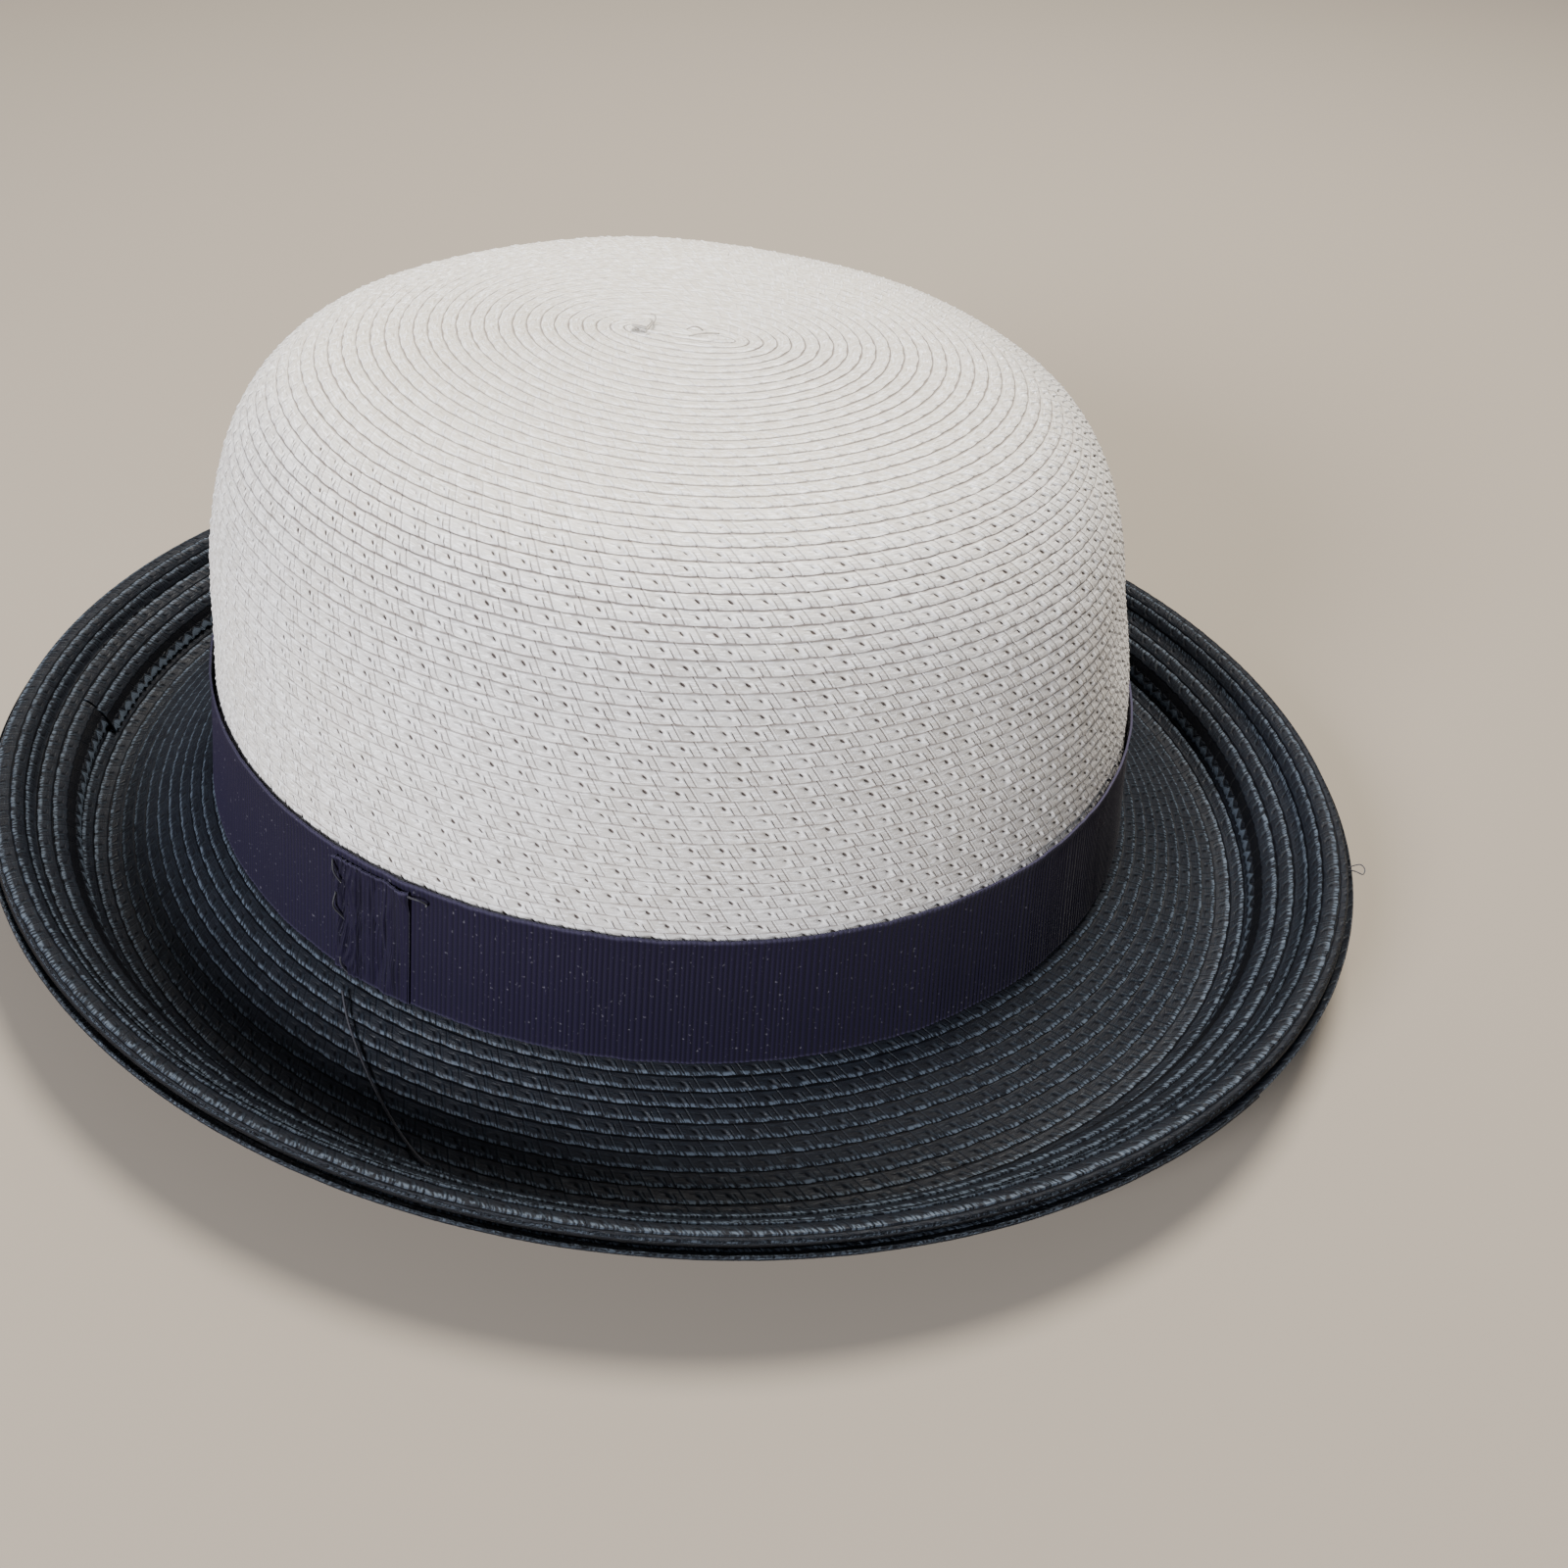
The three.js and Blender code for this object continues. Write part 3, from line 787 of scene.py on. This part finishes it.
ivory_straw = straw_material("Ivory straw", {
    "face": (0.73, 0.715, 0.70), "shade": (0.52, 0.495, 0.465), "tint": (0.68, 0.63, 0.53),
    "strand": (0.97, 0.965, 0.96), "glint": (0.94, 0.93, 0.91), "groove_shadow": (0.20, 0.16, 0.14),
    "hole_shade": (0.05, 0.035, 0.03), "streak_highlight": 0.95, "edge_glint": 0.4,
    "gap_shadow": 0.8, "hole_shading": 0.97,
}, rough=0.34, gloss_drop=0.16, bump=1.0)
navy_straw = straw_material("Navy straw", {
    "face": (0.0060, 0.0070, 0.0105), "shade": (0.009, 0.011, 0.016),
    "tint": (0.011, 0.012, 0.014), "strand": (0.016, 0.021, 0.028),
    "glint": (0.078, 0.10, 0.13), "groove_shadow": (0.0012, 0.0012, 0.002),
    "hole_shade": (0.001, 0.001, 0.0012), "streak_highlight": 0.5, "edge_glint": 0.9,
    "gap_shadow": 0.3, "hole_shading": 0.5,
}, rough=0.48, gloss_drop=0.16, bump=0.7, Specular_IOR_Level=0.13)
print("straw", ivory_straw.name, navy_straw.name)

# %% [markdown]
# ## Crown
# The crown is about 60 rows from the button at its tip down to the headline. It is
# grown in five lengths of the same spiral, each cut where the last one ended, so
# that no mesh gets too heavy. The rows hidden under the ribbon need little detail.

# %% Crown braid
CROWN_TURNS = CROWN_LENGTH / ROW
CROWN_CUTS = (
    ("crown_tip", 0.12, 18.0, 440, 7),
    ("crown_shoulder", 18.0, 31.0, 760, 7),
    ("crown_side_upper", 31.0, 42.0, 900, 7),
    ("crown_side_lower", 42.0, 53.0, 900, 7),
    ("crown_under_ribbon", 53.0, CROWN_TURNS, 300, 4),
)


def hat_piece(name, tree, node, values, more):
    """Grows a piece, hides the frame part it stands for, and hangs it on the root body."""
    values.update({key.replace("_", " "): value for key, value in more.items()})
    piece = grow(name, tree, values)
    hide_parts(node)
    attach(piece, "root")
    return piece


def braid_piece(name, node, guide, material, start, end, columns, upper, **more):
    values = {
        "Guide": guide, "Start Turn": start, "Turns": end - start,
        "Columns Per Turn": columns, "Upper Points": upper, "Material": material,
    }
    hat_piece(name, sewn_braid, node, values, more)


for name, start, end, columns, upper in CROWN_CUTS:
    braid_piece(
        name, "crown_braid", crown_guide, ivory_straw, start, end, columns, upper,
        Start_Angle=math.radians(90), First_Edge=0.0, Arc_Limit=CROWN_LENGTH,
        Dents=5.0 * MM, Calm_Arc=55 * MM, Seed=7.0)

# %% [markdown]
# ## Brim
# The brim starts under the crown's edge and runs out, down to the ground and up
# the roll. It is seen from both sides, so its underside gets more points.

# %% Brim braid
BRIM_TURNS = (BRIM_LENGTH + ROW) / ROW
for name, start, end in (("brim_inner", 0.0, 9.0), ("brim_outer", 9.0, BRIM_TURNS)):
    braid_piece(
        name, "brim_braid", brim_guide, navy_straw, start, end, 780, 7,
        Lower_Points=4, Start_Angle=math.radians(60), First_Edge=ROW * 0.25, Relief=0.5,
        Arc_Limit=BRIM_LENGTH, Ground=0.0, Seed=start + 20.0)

# %% [markdown]
# ## Facing
# The braid goes on over the rim and spirals back inward over the upper face, so
# the wire in the rim is covered. Its last row lies on top of the others, so its
# whole width shows, with the pointed edge of the plait. On the real hat its end is
# rounded and tucked in, and here it is cut square.

# %% Facing braid
FACING_EDGE = BRIM_LENGTH + 0.8 * MM
LAST_EDGE = BRIM_LENGTH - FACING_WIDTH + BRAID_WIDTH
FACING_LAP = 1.6 * MM
FACING_START = FACING_EDGE + ROW + FACING_LAP
FACING_TURNS = (FACING_START - LAST_EDGE) / ROW
TAIL_ANGLE = math.radians(190)
for name, start, end, upper, width, teeth in (
    ("facing_rows", 0.0, FACING_TURNS - 1, 7, ROW + FACING_LAP, 0.0),
    ("facing_inner_row", FACING_TURNS - 1, FACING_TURNS, 15, BRAID_WIDTH, 0.7 * MM),
):
    braid_piece(
        name, "edge_facing", brim_guide, navy_straw, start, end, 860, upper,
        Start_Angle=TAIL_ANGLE - FACING_TURNS % 1 * 2 * math.pi,
        First_Edge=FACING_START, Row_Step=-ROW, Width=width, Teeth=teeth, Relief=0.6,
        Arc_Limit=FACING_EDGE, Foot=0.75 * MM, Shingle=1.0 * MM, Thickness=0.7 * MM,
        Wire_Place=BRIM_LENGTH - WIRE_INSET, Wire_Lift=2.5 * MM, Seed=50.0)

# %% [markdown]
# ## Ribbon
# Grosgrain is a ribbed ribbon: thick weft cords with a fine warp over them. The
# same long tube is used, but its upper face carries ribs. Near the join the ribbon
# is tacked down by hand, which leaves puckers.

# %% The ribbon tree
RIB = 0.9 * MM
PUCKERS = (
    # degrees round, share down from the top edge, degrees wide, share tall, lift in mm
    (244.4, 0.20, 0.50, 0.20, 0.9),
    (245.3, 0.38, 0.45, 0.16, -0.5),
    (246.0, 0.15, 0.60, 0.10, 0.6),
    (244.9, 0.62, 0.50, 0.20, 0.7),
    (245.9, 0.86, 0.60, 0.14, 0.8),
    (250.4, 0.45, 0.55, 0.50, -0.5),
    (251.4, 0.60, 0.50, 0.40, 0.5),
    (253.4, 0.05, 0.90, 0.08, 0.7),
)
RIBBON_SIZES = {
    "Guide": "NodeSocketObject",
    "Columns": 600,
    "Upper Points": 14,
    "Lower Points": 2,
    "Start Angle": 0.0,
    "Sweep": 1.0,
    "Top": 0.1,
    "Height": BAND_HEIGHT,
    "Foot": 0.85 * MM,
    "Thickness": 0.4 * MM,
    "Rib Depth": 0.13 * MM,
    "Rib Width": RIB,
    "Curl": 0.35 * MM,
    "Pucker": 0.0,
    "Ground": -1.0,
    "Seed": 0.0,
    "Material": "NodeSocketMaterial",
}


def ribbon_tree():
    tree, size = new_tree("Ribbed ribbon", RIBBON_SIZES)
    ring = size["Upper Points"] + size["Lower Points"]
    mesh, column, spot = long_tube(tree, size["Columns"], ring)
    share = column / (size["Columns"] - 1)
    angle = share * size["Sweep"] + size["Start Angle"]
    upper, down = round_the_ring(size, ring, spot)

    _, radius = place_on_hat(tree, size["Guide"], size["Top"], down * 0, angle, size)
    step = radius * size["Sweep"] / (size["Columns"] - 1) / ring
    count = add_node(tree, "GeometryNodeAccumulateField", {"Value": step})
    along = Flow(tree, count.outputs["Leading"]) / size["Rib Width"]
    along = along + noise(tree, share, 60.0, size["Seed"], 2.0) * 2.2
    waver = noise(tree, share, 140.0, size["Seed"] + 3.0, 2.0) * 0.5 * MM
    arc = size["Top"] + size["Height"] * down + waver * (1 - down * 2)

    ribs = ((along * math.pi).sine().size() - 0.6) * size["Rib Depth"]
    curl = (1 - down.ramp(0.0, 0.05)) * size["Curl"]
    wave = noise(tree, share, 45.0, size["Seed"] + 6.0) * 0.3 * MM
    degrees = (angle * (180 / math.pi) / 360).fraction() * 360
    folds = 0
    for middle, level, wide, tall, lift in PUCKERS:
        skew = ((down - level) * 9).sine() * 0.7
        folds = folds + (degrees - skew).bump(middle, wide) * down.bump(level, tall) * lift
    creases = (degrees * 9 + (down * 7).sine() * 5).sine() * degrees.bump(246, 2.6) * 0.13
    rise = size["Foot"] + wave + curl + (folds + creases) * size["Pucker"] * MM
    lift = rise + upper * (size["Thickness"] + ribs * down.ramp(0.0, 0.03))
    place, _ = place_on_hat(tree, size["Guide"], arc, lift, angle, size)
    finish_tree(tree, mesh, place, along, down, size["Material"])
    return tree


ribbed_ribbon = ribbon_tree()
print("ribbon tree", len(ribbed_ribbon.nodes), "nodes")

# %% [markdown]
# Cloth finishes. Ribs come from the mesh and are sharpened by a bump. The shader
# adds the fine warp threads that cross them, a soft sheen and a little lint.

# %% Ribbon and cloth materials


def ribbon_material(name, face, valley, edge, lint, rough, sheen):
    """Ribbed cloth: rib colours with painted shade in the valleys, warp threads, lint, lighter
    edges.
    """
    material, tree, shader = new_material(name, **sheen)
    parts = add_node(tree, "ShaderNodeSeparateXYZ", {"Vector": own_marks(tree)})
    along, down = Flow(tree, parts.outputs["X"]), Flow(tree, parts.outputs["Y"])
    rib = (along * math.pi).sine().size()
    dust = use_group(tree, settled_dust, {"Where": object_place(tree), "Speck": 1400.0})
    warp = add_node(tree, "ShaderNodeCombineXYZ", {"X": along * 7, "Y": down * 90})
    threads = shader_noise(tree, warp.outputs["Vector"], 1.0, 1.0)
    # The valleys between the ribs get painted shade.
    colour = blend(tree, rib.ramp(0.05, 0.8), valley, face)
    colour = blend(tree, dust["Blotches"] * 0.25, colour, valley)
    # Both edges of the cloth are painted lighter.
    colour = blend(tree, (1 - down.ramp(0.0, 0.035)) * 0.6, colour, edge)
    colour = blend(tree, (down - 0.5).size().ramp(0.475, 0.5) * 0.4, colour, edge)
    colour = blend(tree, dust["Specks"] * threads * 0.5, colour, lint)
    tree.links.new(colour, shader.inputs["Base Color"])
    tree.links.new((threads * 0.2 + rough).socket, shader.inputs["Roughness"])
    height = rib * 0.8 + threads * 0.5
    add_bump(tree, shader, height, 0.6, 0.12 * MM)
    return material


navy_ribbon = ribbon_material(
    "Navy grosgrain", face=(0.0075, 0.0048, 0.020), valley=(0.005, 0.004, 0.012),
    edge=(0.05, 0.045, 0.085), lint=(0.25, 0.24, 0.28), rough=0.6,
    sheen={"Sheen_Weight": 0.08, "Sheen_Roughness": 0.4, "Specular_IOR_Level": 0.2})
inner_ribbon = ribbon_material(
    "Inner grosgrain", face=(0.016, 0.016, 0.022), valley=(0.006, 0.006, 0.009),
    edge=(0.05, 0.05, 0.06), lint=(0.3, 0.29, 0.27), rough=0.7,
    sheen={"Sheen_Weight": 0.3, "Sheen_Roughness": 0.5})
label_cloth = ribbon_material(
    "Label cloth", face=(0.68, 0.65, 0.56), valley=(0.60, 0.57, 0.48),
    edge=(0.75, 0.73, 0.66), lint=(0.40, 0.38, 0.33), rough=0.5,
    sheen={"Sheen_Weight": 0.2, "Sheen_Roughness": 0.3})
print("cloth", navy_ribbon.name, inner_ribbon.name, label_cloth.name)

# %% Ribbon, sweatband and label


def ribbon_piece(name, node, material, slot, middle, sweep, columns, **more):
    values = {
        "Guide": crown_guide, "Columns": columns, "Material": material,
        "Start Angle": middle - sweep / 2, "Sweep": sweep,
    }
    return hat_piece(name, ribbed_ribbon, node, values, more)


def round_length(lift, arc):
    """Length round the hat at one height."""
    spots = [hat_point(crown_line, arc, lift, d) for d in range(361)]
    return sum((b - a).length for a, b in zip(spots, spots[1:]))


BAND_TOP = CROWN_LENGTH - BAND_FOOT - BAND_HEIGHT
LAP_ANGLE = math.radians(249)
LAP_SWEEP = 16 * MM / HEAD_WIDE
LAP_DROP = 1.5 * MM
FULL_TURN = 2 * math.pi
ribbon = ribbon_piece(
    "ribbon", "hat_band", navy_ribbon, "navy_ribbon", LAP_ANGLE + math.pi,
    FULL_TURN - 0.0004, 3400, Top=BAND_TOP, Pucker=0.35, Upper_Points=11)
ribbon_end = ribbon_piece(
    "ribbon_end", "hat_band", navy_ribbon, "navy_ribbon", LAP_ANGLE, LAP_SWEEP, 110,
    Top=BAND_TOP + LAP_DROP, Height=BAND_HEIGHT - LAP_DROP, Foot=1.35 * MM, Pucker=1.25,
    Upper_Points=30, Seed=5.0)
BAND_ROUND = round_length(1.2 * MM, BAND_TOP + BAND_HEIGHT / 2)

SWEAT_HEIGHT = 28 * MM
SWEAT_TOP = CROWN_LENGTH + 1.4 * MM - SWEAT_HEIGHT
sweat = ribbon_piece(
    "sweatband", "sweatband", inner_ribbon, "inner_ribbon", math.radians(180),
    FULL_TURN - 0.004, 1400, Top=SWEAT_TOP, Height=SWEAT_HEIGHT, Foot=-4.05 * MM,
    Thickness=-0.4 * MM, Rib_Depth=-0.12 * MM, Rib_Width=2.0 * MM, Curl=0.0, Upper_Points=9)
SWEAT_ROUND = round_length(-4.4 * MM, CROWN_LENGTH - 14 * MM)
label = ribbon_piece(
    "label", "sweatband_label", label_cloth, "label_cloth", math.radians(180),
    26 * MM / HEAD_WIDE, 60, Top=SWEAT_TOP + 7.5 * MM, Height=13 * MM, Foot=-4.65 * MM,
    Thickness=-0.25 * MM, Rib_Depth=-0.03 * MM, Rib_Width=0.9 * MM, Curl=0.0)
print("ribbon", round(BAND_ROUND, 4), "sweatband", round(SWEAT_ROUND, 4))

# %% [markdown]
# ## Loose thread
# One sewing thread has come away under the ribbon's join and lies across the
# brim. It is a cord of fixed length, so it is drawn as a curve through its stops.

# %% Loose thread
THREAD = 0.45 * MM
THREAD_STOPS = (
    # share of the brim's width, degrees round, extra lift in mm
    (0.08, 246.6, 0.8), (0.15, 248.6, 0.4), (0.22, 251.0, 0.15), (0.29, 253.6, 0.1),
    (0.36, 256.2, 0.1), (0.43, 258.9, 0.1), (0.49, 261.2, 0.2), (0.53, 262.6, 0.5),
)


def thread_material(name, face, dark):
    """Matt sewing thread in two close colours."""
    material, tree, shader = new_material(name, Sheen_Weight=0.3)
    dust = use_group(tree, settled_dust, {"Where": object_place(tree), "Blotch": 900.0})
    tree.links.new(blend(tree, dust["Blotches"], face, dark), shader.inputs["Base Color"])
    tree.links.new((dust["Specks"] * 0.2 + 0.6).socket, shader.inputs["Roughness"])
    return material


navy_thread = thread_material("Navy thread", (0.010, 0.010, 0.02), (0.003, 0.003, 0.006))


def dense(points, steps=12):
    """A smooth line through the points, as many short straight pieces."""
    stops = [points[0], *points, points[-1]]
    line = []
    for a, b, c, d in zip(stops, stops[1:], stops[2:], stops[3:]):
        for i in range(steps):
            t = i / steps
            line.append(0.5 * (
                2 * b + (c - a) * t + (2 * a - 5 * b + 4 * c - d) * t * t
                + (3 * b - a - 3 * c + d) * t ** 3))
    return line + [points[-1]]


def thread_tube(name, lines, thickness, material, sides=8):
    """Round tubes along lines, joined in one closed mesh."""
    spots, faces = [], []
    for line in lines:
        first = len(spots)
        side = None
        for i, here in enumerate(line):
            ahead = (line[min(i + 1, len(line) - 1)] - line[max(i - 1, 0)]).normalized()
            guess = side if side is not None else ahead.orthogonal()
            side = (guess - ahead * guess.dot(ahead)).normalized()
            other = ahead.cross(side)
            for k in range(sides):
                a = FULL_TURN * k / sides
                spots.append(here + (side * math.cos(a) + other * math.sin(a)) * thickness / 2)
        for i in range(len(line) - 1):
            for k in range(sides):
                a, b = first + i * sides + k, first + i * sides + (k + 1) % sides
                faces.append((a, b, b + sides, a + sides))
        last = first + (len(line) - 1) * sides
        faces.append([first + k for k in reversed(range(sides))])
        faces.append([last + k for k in range(sides)])
    mesh = bpy.data.meshes.new(name)
    mesh.from_pydata([tuple(p) for p in spots], [], faces)
    face_outwards(mesh)
    mesh.shade_smooth()
    mesh.materials.append(material)
    piece = bpy.data.objects.new(name, mesh)
    bpy.context.scene.collection.objects.link(piece)
    return piece


thread_line = dense([
    hat_point(brim_line, share * BRIM_LENGTH, LIP + 0.3 * MM + THREAD / 2 + lift * MM, turn)
    for share, turn, lift in THREAD_STOPS
])
THREAD_LENGTH = sum((b - a).length for a, b in zip(thread_line, thread_line[1:]))
thread = thread_tube("loose_thread", [thread_line], THREAD, navy_thread)
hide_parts("loose_thread")
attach(thread, "root")
print("thread length", round(THREAD_LENGTH, 4))

# %% [markdown]
# ## Small threads
# The hand-sewn tacks that hold the ribbon's end, and a loop of thread that
# stands out of the rim.

# %% Tacks and rim loop
TACK = 0.35 * MM
LOOP_THREAD = 0.25 * MM


def on_band(degrees, share, lift):
    return hat_point(crown_line, BAND_TOP + BAND_HEIGHT * share, lift * MM, degrees)


TACKS = (
    [(253.6, 0.10, 1.5), (254.6, 0.07, 2.5), (255.6, 0.06, 2.6), (256.2, 0.09, 1.9),
     (256.0, 0.13, 1.3)],
    [(243.6, 0.12, 1.4), (244.0, 0.09, 2.3), (244.6, 0.16, 2.9), (245.2, 0.24, 2.2)],
    [(244.2, 0.36, 1.9), (244.5, 0.44, 2.9), (245.0, 0.50, 2.4), (245.4, 0.56, 1.6)],
    [(245.0, 0.84, 1.8), (245.5, 0.90, 2.8), (246.0, 0.97, 2.3), (246.4, 1.02, 1.3)],
)
tacks = thread_tube(
    "tack_stitches", [dense([on_band(*stop) for stop in tack], 6) for tack in TACKS],
    TACK, navy_thread)
LOOP_STOPS = ((-0.5, -4.0), (1.0, -4.4), (2.2, -4.9), (2.6, -4.2), (1.8, -3.5), (-0.4, -3.8))
rim_loop = thread_tube("rim_loop", [dense([
    hat_point(brim_line, BRIM_LENGTH, 1.5 * MM, turn) + Vector((out * MM, 0, 0.4 * out * MM))
    for out, turn in LOOP_STOPS
], 6)], LOOP_THREAD, navy_thread)
for piece in (tacks, rim_loop):
    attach(piece, "root")
print("tacks", len(TACKS))

# %% [markdown]
# ## Tip
# At the tip is the braid's cut start, folded flat, with three stitches near it. The
# tab is a plain box whose edges are rounded by a Bevel modifier.

# %% Tab and stitches at the tip
TAB_CORNERS = ((-9.5, -1.6), (-6.6, -1.9), (-6.2, 1.0), (-9.2, 1.4))
TAB_LIFTS = (0.9, 1.35)
TIP_THREAD = 0.28 * MM


def on_tip(right, forward, lift):
    """A place near the tip, in millimetres from its middle."""
    flat = hat_point(crown_line, math.hypot(right, forward) * MM, lift * MM, 0)
    return Vector((right * MM, forward * MM, flat.z))


def tip_tab():
    mesh = bpy.data.meshes.new("tip_tab")
    spots = [on_tip(x, y, lift) for lift in TAB_LIFTS for x, y in TAB_CORNERS]
    mesh.from_pydata([tuple(p) for p in spots], [], [
        (3, 2, 1, 0), (4, 5, 6, 7), (0, 1, 5, 4), (1, 2, 6, 5), (2, 3, 7, 6), (3, 0, 4, 7)])
    mesh.uv_layers.new(name="Braid")
    mesh.materials.append(ivory_straw)
    piece = bpy.data.objects.new("tip_tab", mesh)
    bpy.context.scene.collection.objects.link(piece)
    edge = piece.modifiers.new("Soft edge", "BEVEL")
    edge.width = 0.18 * MM
    edge.segments = 2
    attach(piece, "root")


tip_tab()
TIP_STITCHES = (
    [(-6.4, -2.6, 0.9), (-5.8, -1.0, 1.5), (-5.6, 1.4, 1.5), (-6.2, 3.6, 1.4), (-7.4, 5.4, 0.8)],
    [(0.6, 0.6, 0.8), (1.8, 0.5, 1.5), (2.8, 0.7, 1.4), (3.6, 1.0, 0.7)],
    [(1.6, -2.4, 0.8), (3.6, -2.0, 1.4), (5.6, -0.9, 1.3), (6.8, 0.4, 0.8)],
)
pale_thread = thread_material("Pale thread", (0.42, 0.38, 0.33), (0.25, 0.22, 0.19))
tip_stitches = thread_tube(
    "tip_stitches", [dense([on_tip(*stop) for stop in line], 6) for line in TIP_STITCHES],
    TIP_THREAD, pale_thread)
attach(tip_stitches, "root")
print("tip stitches", len(TIP_STITCHES))

# %% [markdown]
# ## Rim wire
# The wire and its sleeve keep their shape from the frame and are almost wholly
# covered. They only need a drawn-steel finish.

# %% Wire finish


def steel_material():
    material, tree, shader = new_material("Drawn steel", Metallic=1.0)
    dust = use_group(tree, settled_dust, {"Where": object_place(tree), "Blotch": 200.0})
    colour = blend(tree, dust["Blotches"], (0.45, 0.46, 0.48), (0.28, 0.27, 0.26))
    tree.links.new(colour, shader.inputs["Base Color"])
    tree.links.new((dust["Specks"] * 0.25 + 0.3).socket, shader.inputs["Roughness"])
    return material


wire_steel = steel_material()
for node in ("edge_wire", "wire_joiner"):
    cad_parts[node].data.materials.clear()
    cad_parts[node].data.materials.append(wire_steel)
print("wire finish", wire_steel.name)

# %% [markdown]
# ## Floor and light
# A plain pale floor and soft light: a warm disk overhead and behind, a faintly cool
# one at the front left, and a dim even sky. The floor is clear from below, so that
# the underside of the hat can be looked at.

# %% Floor and light
FLOOR_SIZE = 8.0


def floor():
    data = bpy.data.meshes.new("floor")
    half = FLOOR_SIZE / 2
    corners = [(-half, -half, 0), (half, -half, 0), (half, half, 0), (-half, half, 0)]
    data.from_pydata(corners, [], [(0, 1, 2, 3)])
    ground = bpy.data.objects.new("floor", data)
    bpy.context.scene.collection.objects.link(ground)
    material, tree, shader = new_material(
        "Pale floor", Base_Color=(0.285, 0.25, 0.205, 1), Roughness=0.9)
    side = add_node(tree, "ShaderNodeNewGeometry").outputs["Backfacing"]
    clear = add_node(tree, "ShaderNodeBsdfTransparent")
    either = add_node(tree, "ShaderNodeMixShader", {0: side})
    tree.links.new(shader.outputs["BSDF"], either.inputs[1])
    tree.links.new(clear.outputs["BSDF"], either.inputs[2])
    leave = tree.nodes["Material Output"]
    tree.links.new(either.outputs["Shader"], leave.inputs["Surface"])
    data.materials.append(material)


def soft_light(name, place, size, power, colour):
    data = bpy.data.lights.new(name, "AREA")
    data.shape = "DISK"
    data.size = size
    data.energy = power
    data.color = colour
    lamp = bpy.data.objects.new(name, data)
    lamp.location = place
    lamp.rotation_euler = (-Vector(place)).to_track_quat("-Z", "Y").to_euler()
    bpy.context.scene.collection.objects.link(lamp)


floor()
soft_light("overhead", (0.15, 0.5, 1.25), 0.5, 38, (1.0, 0.94, 0.85))
soft_light("front left", (-0.75, -1.4, 0.75), 0.6, 55, (0.95, 0.95, 1.0))
sky = bpy.data.worlds.new("Even sky")
sky.use_nodes = True
sky.node_tree.nodes["Background"].inputs["Color"].default_value = (0.9, 0.93, 1.0, 1)
sky.node_tree.nodes["Background"].inputs["Strength"].default_value = 0.25
bpy.context.scene.world = sky

# %% [markdown]
# ## Last step
# The finished hat must stay the size of the frame it was built on. The guide curves
# are no longer needed and are removed.

# %% Remove the guides
for guide in (crown_guide, brim_guide):
    bpy.data.objects.remove(guide)
